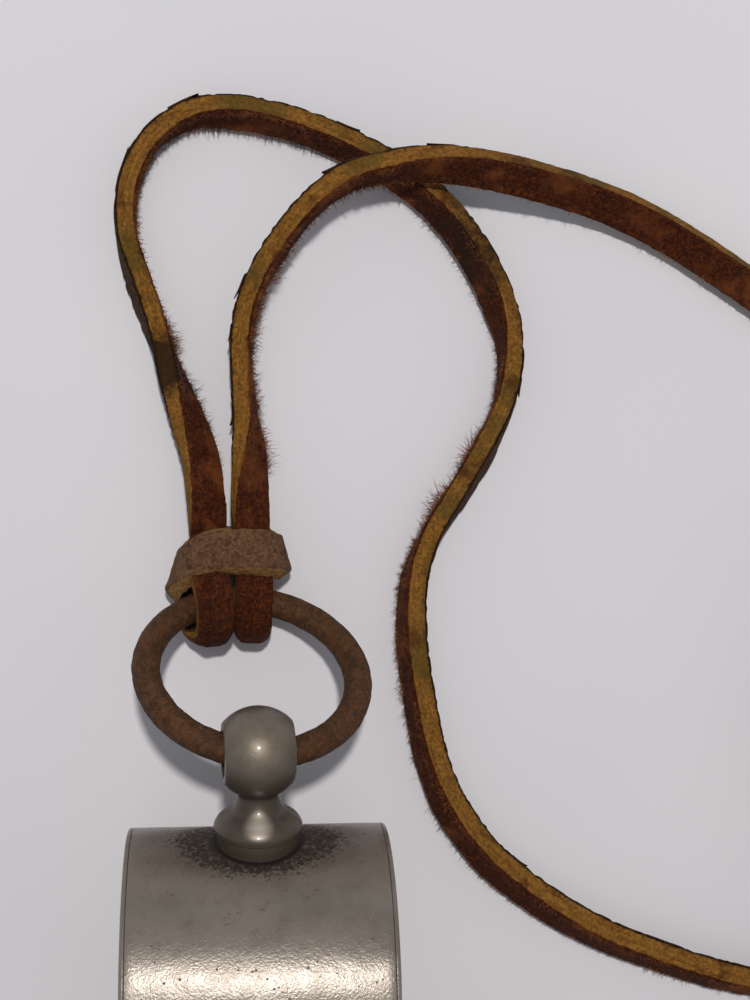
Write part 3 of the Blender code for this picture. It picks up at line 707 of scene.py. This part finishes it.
def lace_line():
    """Rows of x, y, z, roll and half thickness from the left strap, round the coil, and back."""
    outward = [(x * MM, y * MM, z * MM, roll) for x, y, z, roll in LEFT_ROUTE]
    homeward = [(x * MM, y * MM, z * MM, 180 - roll) for x, y, z, roll in reversed(RIGHT_ROUTE)]
    rows = [*outward, *coil_rows(), *homeward]
    line, reach = evenly_spaced(spline_through(rows, ROUTE_STEPS), LACE_STEP)
    from_strap = np.minimum(reach, reach[-1] - reach)
    left_half = reach < reach[-1] / 2
    swell = np.where(left_half, eased_stretch(reach, STRAP_ENDS, LEFT_GOES_THIN),
                     eased_stretch(from_strap, STRAP_ENDS, RIGHT_GOES_THIN))
    loose = left_half * eased_stretch(reach, LOOSE_STARTS, LEFT_GOES_THIN)
    half = LACE_THICKNESS / 2 + (SEEN_THICKNESS - LACE_THICKNESS) / 2 * swell + LOOSE_EXTRA / 2 * loose
    roll = np.radians(line[:, 3])
    lying = LACE_WIDTH / 2 * np.abs(np.cos(roll)) + half * np.abs(np.sin(roll))
    line[:, 2] -= (LAID_Z - lying - LACE_CLEARANCE) * eased_share(from_strap, *STRAP_SETTLES)
    return np.column_stack([line, half]), reach


LACE_SECTION = rounded_section(LACE_WIDTH / 2, LACE_THICKNESS / 2, LACE_CORNER, 7, 4)


def swept(place, across, flesh, half):
    """Points and outward directions of the lace's section at each place of a line."""
    a, b, out_a, out_b = np.array(LACE_SECTION).T
    b = b * (half / (LACE_THICKNESS / 2))
    points = place[:, None] + across[:, None] * a[:, None] + flesh[:, None] * b[:, :, None]
    return points, across[:, None] * out_a[:, None] + flesh[:, None] * out_b[:, None]


def section_sides():
    """1 on the flesh side and -1 on the grain side, passing evenly over the cut edges."""
    return [0.55 * out_b + 0.45 * b / (LACE_THICKNESS / 2) for _, b, _, out_b in LACE_SECTION]


def section_girths():
    """Distance round the section of each of its points, in mm."""
    places = [row[:2] for row in LACE_SECTION]
    steps = [math.dist(first, second) for first, second in zip(places, places[1:])]
    return np.concatenate([[0], np.cumsum(steps)]) / MM


def roughened(points, outward, side):
    """Leather's uneven surface: lumpy and fibrous on the flesh side, cracked on the grain side."""
    moved = points.reshape(-1, 3).copy()
    out = outward.reshape(-1, 3)
    for i, (x, y, z) in enumerate(moved):
        at = Vector((x, y, z))
        if side[i] > 0.4:
            rise = 0.07 * fractal(at, 1.4, 3) + 0.05 * fractal(at, 0.3, 1)
        elif side[i] < -0.4:
            crack = max(0.0, 0.25 - abs(fractal(at, 0.7, 3))) * 0.5
            rise = 0.06 * fractal(at, 0.45, 2) - crack
        else:
            rise = 0.04 * fractal(at, 1.2, 3) + 0.05 * fractal(at, 0.3, 2)
        moved[i] += out[i] * (rise * MM)
    moved[:, 2] = np.maximum(moved[:, 2], LOWEST_LEATHER)
    return moved


def leather_piece(name, points, outward, reach, soil, look):
    """A rough length of lace; its look needs the side, the dirt and the distances of each point."""
    side = np.tile(section_sides(), len(reach))
    return make_piece(name, roughened(points, outward, side), tube_faces(len(reach), len(LACE_SECTION)),
                      look, 60.0, side=side, soil=soil, reach=np.repeat(reach / MM, len(LACE_SECTION)),
                      girth=np.tile(section_girths(), len(reach)))


def soil_along(reach):
    """How dirty the lace is at each place along it: most where it was handled by the keeper."""
    soil = np.zeros_like(reach)
    for from_strap, spots in ((reach, LEFT_SOIL), (reach[-1] - reach, RIGHT_SOIL)):
        for middle, half, amount in spots:
            soil = np.maximum(soil, amount * np.exp(-((from_strap / MM - middle) / half) ** 2))
    return soil


def add_lace(look):
    line, reach = lace_line()
    forward = unit(np.gradient(line[:, :3], axis=0))
    right = unit(np.cross(forward, (0.0, 0.0, 1.0)))
    up = np.cross(right, forward)
    roll = np.radians(line[:, 3])[:, None]
    flesh = right * np.cos(roll) + up * np.sin(roll)
    across = np.cross(flesh, forward)
    points, outward = swept(line[:, :3], across, flesh, line[:, 4:5])
    soil = np.repeat(soil_along(reach), len(LACE_SECTION))
    piece = leather_piece("lace", points, outward, reach, soil, look)
    return piece, line, reach, (forward, across, flesh)


def tuft_share(from_left, from_right):
    """How thick the fuzz is at a place: most at the worn bends."""
    spots = [(from_left, *spot) for spot in LEFT_TUFTS] + [(from_right, *spot) for spot in RIGHT_TUFTS]
    return max(amount * math.exp(-((at / MM - middle) / half) ** 2) for at, middle, half, amount in spots)


def add_hair(points, faces, root, lean, length, width, chance):
    """One curved, pointed fibre of three sides, closed at its root."""
    swerve = np.array([chance.uniform(-1, 1) for _ in range(3)])
    side_a = np.cross(lean, (0.3, 0.2, 1.0))
    side_a /= np.linalg.norm(side_a)
    side_b = np.cross(lean, side_a)
    first = len(points)
    for share, slim in FIBRE_RINGS:
        centre = root + lean * length * share + swerve * length * FIBRE_BEND * share ** 2
        for k in range(3):
            angle = math.radians(120 * k)
            points.append(centre + (side_a * math.cos(angle) + side_b * math.sin(angle)) * (width * slim))
    tip = root + lean * length + swerve * length * FIBRE_BEND
    tip[2] = max(tip[2], LOWEST_TIP)
    points.append(tip)
    faces.append((first + 2, first + 1, first))
    for ring in (first, first + 3):
        faces += [(ring + k, ring + (k + 1) % 3, ring + 3 + (k + 1) % 3, ring + 3 + k) for k in range(3)]
    faces += [(first + 6 + k, first + 6 + (k + 1) % 3, first + 9) for k in range(3)]


def add_fibres(line, reach, axes, look):
    """Loose fibres along both edges of the flesh side, thicker at the worn bends."""
    forward, across, flesh = axes
    chance = random.Random(SEED)
    points, faces = [], []
    whole = reach[-1]
    seen = [i for i, at in enumerate(reach)
            if FUZZ_STARTS < at < LEFT_FUZZ_ENDS or FUZZ_STARTS < whole - at < RIGHT_FUZZ_ENDS]
    tufts = {i: tuft_share(reach[i], whole - reach[i]) for i in seen}
    count = 0
    while count < FIBRE_COUNT:
        i = chance.choice(seen)
        if chance.random() > FUZZ_LEAST + (1 - FUZZ_LEAST) * tufts[i]:
            continue
        count += 1
        edge = chance.choice((-1, 1))
        inset = chance.random() ** 2 * 0.6
        a = edge * (LACE_WIDTH / 2 - 0.12 * MM - inset * LACE_WIDTH / 2)
        root = line[i, :3] + across[i] * a + flesh[i] * (line[i, 4] - 0.10 * MM)
        lean = (flesh[i] * chance.uniform(0.4, 1.0) + across[i] * edge * chance.uniform(-0.1, 0.7)
                + forward[i] * chance.uniform(-1.0, 1.0))
        lean /= np.linalg.norm(lean)
        tuft_length = TUFT_LENGTH_MM * tufts[i]
        length = (chance.uniform(*FIBRE_LENGTH_MM) + tuft_length * chance.random() ** 2) * MM
        add_hair(points, faces, root, lean, length, chance.uniform(*FIBRE_WIDTH_MM) * MM, chance)
    return make_piece("lace_fibres", points, faces, look, 180.0)


def add_flakes(line, reach, axes, look):
    """Flakes of the cracked grain side that lift off on the outside of the bends."""
    _, across, flesh = axes
    chance = random.Random(SEED + 1)
    lifting = [at * MM for at in LEFT_FLAKES] + [reach[-1] - at * MM for at in RIGHT_FLAKES]
    section = rounded_section(0.5, 0.5, 0.2, 2, 2)
    points, faces = [], []
    for at in lifting:
        length = chance.uniform(*FLAKE_LENGTH_MM) * MM
        height = chance.uniform(*FLAKE_HEIGHT_MM) * MM
        lift = chance.uniform(*FLAKE_LIFT_MM) * MM
        first, last = np.searchsorted(reach, (at, at + length))
        start = len(points)
        for i in range(first, last):
            share = (i - first) / (last - first - 1)
            tall = height * (1.0 - 0.7 * share ** 2)
            thick = FLAKE_THICKNESS * (1.0 - 0.6 * share)
            away = line[i, 4] - 0.05 * MM + lift * share ** 3
            upwards = 1 if across[i, 2] >= 0 else -1
            centre = (line[i, :3] - flesh[i] * away
                      + across[i] * upwards * (LACE_WIDTH / 2 - 0.08 * MM - tall / 2))
            for a, b, _, _ in section:
                points.append(centre + across[i] * a * tall + flesh[i] * b * thick)
        faces += [tuple(start + k for k in face) for face in tube_faces(last - first, len(section))]
    return make_piece("lace_flakes", points, faces, look, 50.0)


# ---- folds and keeper


def ring_point(degrees):
    """A point on the wire's centre line; 0 is the end furthest from the ball."""
    angle = math.radians(degrees)
    return RING_CENTRE + (RING_DOWN * math.cos(angle) + RING_ALONG * math.sin(angle)) * RING_RADIUS


def ring_tangent(degrees):
    angle = math.radians(degrees)
    return RING_ALONG * math.cos(angle) - RING_DOWN * math.sin(angle)


def fold_rows(side):
    """Places along a folded lace end, with the direction of its width, from tail to strap."""
    x = LACE_X[side]
    wire = ring_point(FOLD_RING_DEG[side])
    square = Vector((1.0, 0.0, 0.0))
    north = Vector((0.0, 1.0, 0.0))
    width = (square + ring_tangent(FOLD_RING_DEG[side])).normalized()
    ahead = -(north - width * north.dot(width)).normalized()
    up = ahead.cross(width)
    above = FOLD_ABOVE[side]
    rows = [(x, TAIL_END_Y, TAIL_Z, *square), (x, 40.0 * MM, TAIL_Z, *square),
            (x, 37.6 * MM, TAIL_Z, *square)]
    for degrees in range(-90, FOLD_LEAVES_DEG + 1, 15):
        angle = math.radians(degrees)
        reach = FOLD_AHEAD if degrees < 90 else above
        rise = above if degrees > 0 else FOLD_BELOW
        at = wire + ahead * (reach * math.cos(angle)) + up * (rise * math.sin(angle))
        rows.append((*at, *width))
    rows += [(x, 37.3 * MM, STRAP_Z + 0.03 * MM, *square), (x, 38.2 * MM, STRAP_Z, *square),
             (x, JOINT_Y, STRAP_Z, *square)]
    return rows


def add_fold(side, look):
    line, reach = evenly_spaced(spline_through(fold_rows(side), FOLD_STEPS), FOLD_STEP)
    place, width = line[:, :3], line[:, 3:6]
    forward = unit(np.gradient(place, axis=0))
    across = unit(width - forward * np.sum(width * forward, axis=1)[:, None])
    half = np.full((len(line), 1), LACE_THICKNESS / 2)
    points, outward = swept(place, across, np.cross(across, forward), half)
    a, b, _, _ = np.array(LACE_SECTION).T
    nose = eased_share(ring_point(FOLD_RING_DEG[side]).y - place[:, 1], 0.6 * MM, 2.4 * MM)
    pulled = np.where(b > 0, 0.75 * MM, 0.15 * MM) * (a / (LACE_WIDTH / 2)) ** 4
    points[:, :, 1] += nose[:, None] * pulled
    under = eased_share(STRAP_Z - place[:, 2], 0.0, STRAP_Z - TAIL_Z)
    under *= eased_share(40.0 * MM - place[:, 1], 0.0, 4.0 * MM)
    points[:, :, 0] -= FOLD_SKEW[side] * under[:, None]
    stained = ring_point(FOLD_RING_DEG[side]) + FOLD_STAIN_AT
    away = np.linalg.norm(points - np.array(stained), axis=2) / FOLD_STAIN_RADIUS
    soil = FOLD_SOIL + FOLD_STAIN[side] * np.exp(-away ** 2)
    return leather_piece(f"lace_{side}_end", points, outward, reach, soil.reshape(-1), look)


def keeper_outline():
    """The middle of the band's wall, seen along the lace: domed on top and spread at the foot."""
    low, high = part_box("lace_keeper")
    half_wall = KEEPER_WALL / 2
    middle = (low.x + high.x) / 2
    half_width = (high.x - low.x) / 2 - half_wall
    foot, top = low.z + half_wall, high.z - half_wall
    rows = [(middle + x * half_width, 0.0, foot + z * (top - foot)) for x, z in KEEPER_OUTLINE]
    overlapping = spline_through([*rows[-2:], *rows, *rows[:3]], KEEPER_STEPS)
    line = overlapping[2 * KEEPER_STEPS:(2 + len(rows)) * KEEPER_STEPS]
    return [Vector((x, z)) for x, _, z in line], middle, half_width, (foot, top)


def add_keeper(look):
    """A leather band, skewed and flared at its left side, worn ragged along its front edge."""
    outline, middle, half_width, (foot, top) = keeper_outline()
    band = rounded_section(KEEPER_HALF_LENGTH, KEEPER_WALL / 2, KEEPER_CORNER, 9, 3)
    points, sides = [], []
    count = len(outline)
    for i, at in enumerate(outline):
        along = (outline[(i + 1) % count] - outline[i - 1]).normalized()
        out = Vector((-along.y, along.x))
        across = (at.x - middle) / half_width
        rise = (at.y - foot) / (top - foot)
        left, right = max(0.0, -across), max(0.0, across)
        front = (KEEPER_FRONT_MM - 1.75 * left ** 3 + 0.1 * (1 - rise) - 0.5 * right ** 6) * MM
        back = (KEEPER_BACK_MM - 1.6 * left ** 3 - 0.6 * right ** 8) * MM
        bevel = (0.8 + 0.35 * left ** 2 + 0.15 * right ** 2) * MM
        for a, b, out_a, out_b in band:
            share = a / KEEPER_HALF_LENGTH
            y = (front + back) / 2 - share * (back - front) / 2
            y -= bevel * (0.5 - b / KEEPER_WALL) * max(0.0, 2 * share - 1)
            lean = (0.15 * rise + 0.45 * left ** 2 + 0.3 * right ** 2) * share * MM
            tuck = 0.12 * MM * rise * max(0.0, -share) ** 3
            shift = b + lean - tuck
            place = Vector((at.x + out.x * shift, y, at.y + out.y * shift))
            outward = Vector((out.x * out_b, -out_a, out.y * out_b))
            place += outward * (0.10 * fractal(place, 0.9, 4) * MM)
            place.y += 0.16 * MM * fractal(Vector((place.x, 0.0, place.z)), 0.5, 3) * abs(share)
            points.append(place)
            sides.append(out_b)
    faces = tube_faces(len(outline), len(band), closed=True)
    return make_piece("keeper_band", points, faces, look, 60.0, side=sides)


# ---- whistle body


def offset_line(points, distance):
    """The open line moved sideways to its left by a distance, with mitred corners."""
    moved = []
    for i, point in enumerate(points):
        before = (point - points[i - 1]).normalized() if i else None
        after = (points[i + 1] - point).normalized() if i + 1 < len(points) else None
        first, second = before or after, after or before
        middle = (first + second).normalized()
        side = Vector((-middle.y, middle.x))
        moved.append(point + side * (distance / side.dot(Vector((-first.y, first.x)))))
    return moved


def sheet_piece(name, line, thickness, look, dents=0.0, tapers=None):
    """Bent sheet metal as wide as the whistle's inside, with rounded edges and slight dents."""
    section = rounded_section(SHEET_WIDTH / 2, thickness / 2, 0.07 * MM, 36, 2)
    inner, outer = offset_line(line, -1.0), offset_line(line, 1.0)
    points = []
    for i, at in enumerate(line):
        side = (outer[i] - inner[i]) / 2
        slim = tapers[i] if tapers else 1.0
        for x, b, _, out_b in section:
            flat = at + side * (b * slim)
            local = Vector((x, flat.x, flat.y))
            if dents:
                local.yz += side.normalized() * (dents * fractal(local, 0.12, 3) * out_b)
            points.append(BARREL_FRAME @ local)
    return make_piece(name, points, tube_faces(len(line), len(section)), look, 35.0)


def add_barrel_strip(look):
    radius = BARREL_RADIUS - SHEET / 2
    line = arc(radius, VOICING_EDGE_DEG, BARREL_END_DEG, 1.2)
    height = TIP_BOTTOM_Z + SHEET / 2
    start, corner = line[-1], Vector((TIP_FLAT_Y, height))
    run = [start.lerp(corner, share / 24) for share in range(1, 25)]
    line += run + [corner.lerp(Vector((TIP_Y, height)), share / 4) for share in range(1, 5)]
    # The sheet is thinned to a blade at the voicing edge, where the line starts
    tapers = [min(1.0, 0.3 + 0.35 * i) for i in range(len(line))]
    return sheet_piece("barrel_shell", line, SHEET, look, 0.035 * MM, tapers)


def add_windway_roof(look):
    top = ROOF_TOP_Z - SHEET / 2
    line = [Vector((WINDOW_Y, top)).lerp(Vector((TIP_FLAT_Y, TIP_TOP_Z - SHEET / 2)), i / 24)
            for i in range(25)]
    line += [Vector((TIP_FLAT_Y - 1.0 * MM * i, TIP_TOP_Z - SHEET / 2)) for i in (1, 2, 3.1)]
    return sheet_piece("mouthpiece_roof", line, SHEET, look, 0.02 * MM)


def add_windway_ramp(look):
    level = WINDWAY_FLOOR_Z - RAMP_SHEET / 2
    slope = [(-36.6 * MM, 3.3 * MM), (-30.0 * MM, 4.7 * MM), (-20.5 * MM, 8.4 * MM),
             (-14.0 * MM, level - 0.1 * MM), (WINDOW_Y - RAMP_SHEET / 2, level)]
    wall = arc(BARREL_RADIUS - RAMP_SHEET / 2, RAMP_TOP_DEG, RAMP_END_DEG, 3.0)
    line = [Vector(point) for point in slope] + wall
    return sheet_piece("windway_floor", line, RAMP_SHEET, look)


def side_outline():
    """Disc and mouthpiece side in one closed outline, run clockwise."""
    disc = arc(BARREL_RADIUS, VOICING_EDGE_DEG, BARREL_END_DEG, 2.0)
    nose = [(TIP_FLAT_Y, TIP_BOTTOM_Z), (TIP_Y, TIP_BOTTOM_Z), (TIP_Y, TIP_TOP_Z),
            (TIP_FLAT_Y, TIP_TOP_Z), (WINDOW_Y, ROOF_TOP_Z)]
    return disc + [Vector(corner) for corner in nose]


def inset(outline, distance):
    """A closed clockwise outline moved inwards."""
    wrapped = [outline[-1], *outline, outline[0]]
    return offset_line(wrapped, -distance)[1:-1]


def add_side_plate(side, look):
    """A cheek with a rounded rim and a shallow pressed line inside it."""
    outline = side_outline()
    out = 1 if side == "right" else -1
    face, back = WHISTLE_WIDTH / 2, WHISTLE_WIDTH / 2 - CHEEK
    steps = ((0.05, back), (0.0, back + 0.05 * MM), (0.0, face - 0.20 * MM), (0.06, face - 0.06 * MM),
             (0.2, face), (0.75, face), (0.9, face - 0.07 * MM), (1.05, face - 0.07 * MM), (1.2, face))
    points = []
    for distance, x in steps:
        for p in inset(outline, distance * MM) if distance else outline:
            points.append(BARREL_FRAME @ Vector((out * x, p.x, p.y)))
    return make_piece(f"{side}_cheek", points, tube_faces(len(steps), len(outline)), look, 30.0)


def add_tip_collar(look):
    """The rolled rectangular band that the lips rest on."""
    half_x = WHISTLE_WIDTH / 2 + SEAM + COLLAR_WALL / 2
    bottom, top = TIP_BOTTOM_Z - SEAM - COLLAR_WALL / 2, TIP_TOP_Z + SEAM + COLLAR_WALL / 2
    path = rounded_section(half_x, (top - bottom) / 2, 0.35 * MM, 24, 12)
    band = rounded_section(COLLAR_LENGTH / 2, COLLAR_WALL / 2, 0.18 * MM, 6, 1)
    middle = TIP_Y - COLLAR_PROUD + COLLAR_LENGTH / 2
    points = []
    for x, z, out_x, out_z in path:
        for a, b, _, _ in band:
            local = Vector((x + out_x * b, middle + a, (top + bottom) / 2 + z + out_z * b))
            points.append(BARREL_FRAME @ local)
    faces = tube_faces(len(path), len(band), closed=True)
    return make_piece("lip_band", points, faces, look, 35.0)


def add_pea(look):
    """Cork ball with pitted skin."""
    low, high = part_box("cork_pea")
    centre = (low + high) / 2
    bpy.ops.mesh.primitive_ico_sphere_add(subdivisions=6, radius=PEA_RADIUS)
    pea = bpy.context.object
    pea.name = "pea_ball"
    for point in pea.data.vertices:
        direction = point.co.normalized()
        dent = min(0.0, fractal(point.co, 0.55, 4) + 0.15)
        point.co += direction * (dent * 0.25 * MM) + centre
    pea.data.shade_smooth()
    pea.data.materials.append(look)
    return pea


# ---- post and ring


def post_profile():
    """Radius and distance from the barrel's axis: ball, waisted neck, domed flange and its foot."""
    ball = [(p.x, BALL_DISTANCE + p.y, 0.0) for p in arc(BALL_RADIUS, 89.0, -58.0, 2.5)]
    turned = [ball[-1], (NECK_RADIUS + 0.03 * MM, 15.75 * MM, 0.0),
              (NECK_RADIUS + 0.08 * MM, 15.2 * MM, 0.0), (1.95 * MM, 14.55 * MM, 0.0),
              (2.55 * MM, 14.12 * MM, 0.0), (3.05 * MM, 13.72 * MM, 0.0),
              (FLANGE_RADIUS, 13.25 * MM, 0.0), (FLANGE_RADIUS - 0.05 * MM, FLANGE_EDGE, 0.0)]
    line = np.vstack([ball[:-1], spline_through(turned, 6)])
    rim = [(FLANGE_RADIUS - 0.12 * MM, FLANGE_EDGE - 0.05 * MM, 0.0),
           (3.08 * MM, FLANGE_EDGE - 0.12 * MM, 0.0), (3.06 * MM, POST_FOOT, 0.0)]
    return [(radius, height) for radius, height, _ in np.vstack([line, rim])]


def add_loop_post(look):
    profile = post_profile()
    turns = 96
    across = (BORE_AXIS - POST_DIRECTION * BORE_AXIS.dot(POST_DIRECTION)).normalized()
    third = POST_DIRECTION.cross(across)
    flat = BALL_HALF_FLATS
    points = []
    for radius, height in profile:
        for k in range(turns):
            angle = 2 * math.pi * k / turns
            a, c = radius * math.cos(angle), radius * math.sin(angle)
            if abs(a) > flat and height > FLANGE_TOP + 1.0 * MM:
                a = math.copysign(flat + 0.03 * (abs(a) - flat), a)
            at = BARREL_CENTRE + POST_DIRECTION * height + across * a + third * c
            wear = 0.012 * fractal(at, 0.5, 3) * MM
            points.append(at + (across * a + third * c).normalized() * wear)
    post = make_piece("turned_post", points, tube_faces(len(profile), turns), look, 28.0)
    bpy.ops.mesh.primitive_cylinder_add(radius=BORE_RADIUS, depth=4 * BALL_RADIUS, vertices=64)
    cutter = bpy.context.object
    cutter.rotation_euler = BORE_AXIS.to_track_quat("Z", "Y").to_euler()
    cutter.location = BALL
    bpy.context.view_layer.update()
    cut = post.modifiers.new("bore", "BOOLEAN")
    cut.operation = "DIFFERENCE"
    cut.object = cutter
    shaped = post.evaluated_get(bpy.context.evaluated_depsgraph_get())
    data = bpy.data.meshes.new_from_object(shaped)
    post.modifiers.clear()
    post.data = data
    data.set_sharp_from_angle(angle=math.radians(28.0))
    bpy.data.objects.remove(cutter, do_unlink=True)
    return post


def add_ring(look):
    """Round wire, uneven with rust scale."""
    long_way, short_way = 260, 36
    points = []
    for i in range(long_way):
        angle = 2 * math.pi * i / long_way
        outward = RING_DOWN * math.cos(angle) + RING_ALONG * math.sin(angle)
        centre = RING_CENTRE + outward * RING_RADIUS
        for k in range(short_way):
            turn = 2 * math.pi * k / short_way
            away = outward * math.cos(turn) + RING_NORMAL * math.sin(turn)
            at = centre + away * WIRE_RADIUS
            scale = 0.02 * fractal(at, 0.35, 2) + 0.04 * fractal(at, 1.5, 3) - 0.02
            points.append(at + away * (scale * MM))
    return make_piece("wire_ring", points, tube_faces(long_way, short_way, closed=True), look, 60.0)


# ---- the whole object


def assign(piece, body, slot, *nodes):
    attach(piece, body)
    if nodes:
        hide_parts(*nodes)


def build_lanyard():
    leather = lace_look()
    lace, line, reach, axes = add_lace(leather)
    assign(lace, "lanyard", "lace", "lace_left_strand", "lace_right_strand", "lace_coil")
    fibres = add_fibres(line, reach, axes, fibre_look())
    assign(fibres, "lanyard", "lace")
    flakes = add_flakes(line, reach, axes, flake_look())
    assign(flakes, "lanyard", "lace")
    for side in ("left", "right"):
        end = add_fold(side, leather)
        assign(end, "lanyard", "lace", f"lace_{side}_fold")
    keeper = add_keeper(keeper_look())
    assign(keeper, "keeper", "keeper", "lace_keeper")


def build_whistle():
    nickel = nickel_look()
    assign(add_barrel_strip(nickel), "whistle", "nickel", "barrel_strip")
    assign(add_windway_roof(nickel), "whistle", "nickel", "windway_roof")
    assign(add_windway_ramp(nickel), "whistle", "nickel", "windway_ramp")
    assign(add_tip_collar(nickel), "whistle", "nickel", "tip_collar")
    for side in ("left", "right"):
        assign(add_side_plate(side, nickel), "whistle", "nickel", f"{side}_side_plate")
    assign(add_loop_post(post_look()), "whistle", "nickel", "loop_post")
    assign(add_ring(rust_look()), "ring", "iron", "iron_ring")
    assign(add_pea(cork_look()), "pea", "cork", "cork_pea")


add_camera()
build_lanyard()
build_whistle()
add_floor(paper_look())
add_key_light()
add_world()
bpy.context.scene.view_settings.view_transform = "Standard"
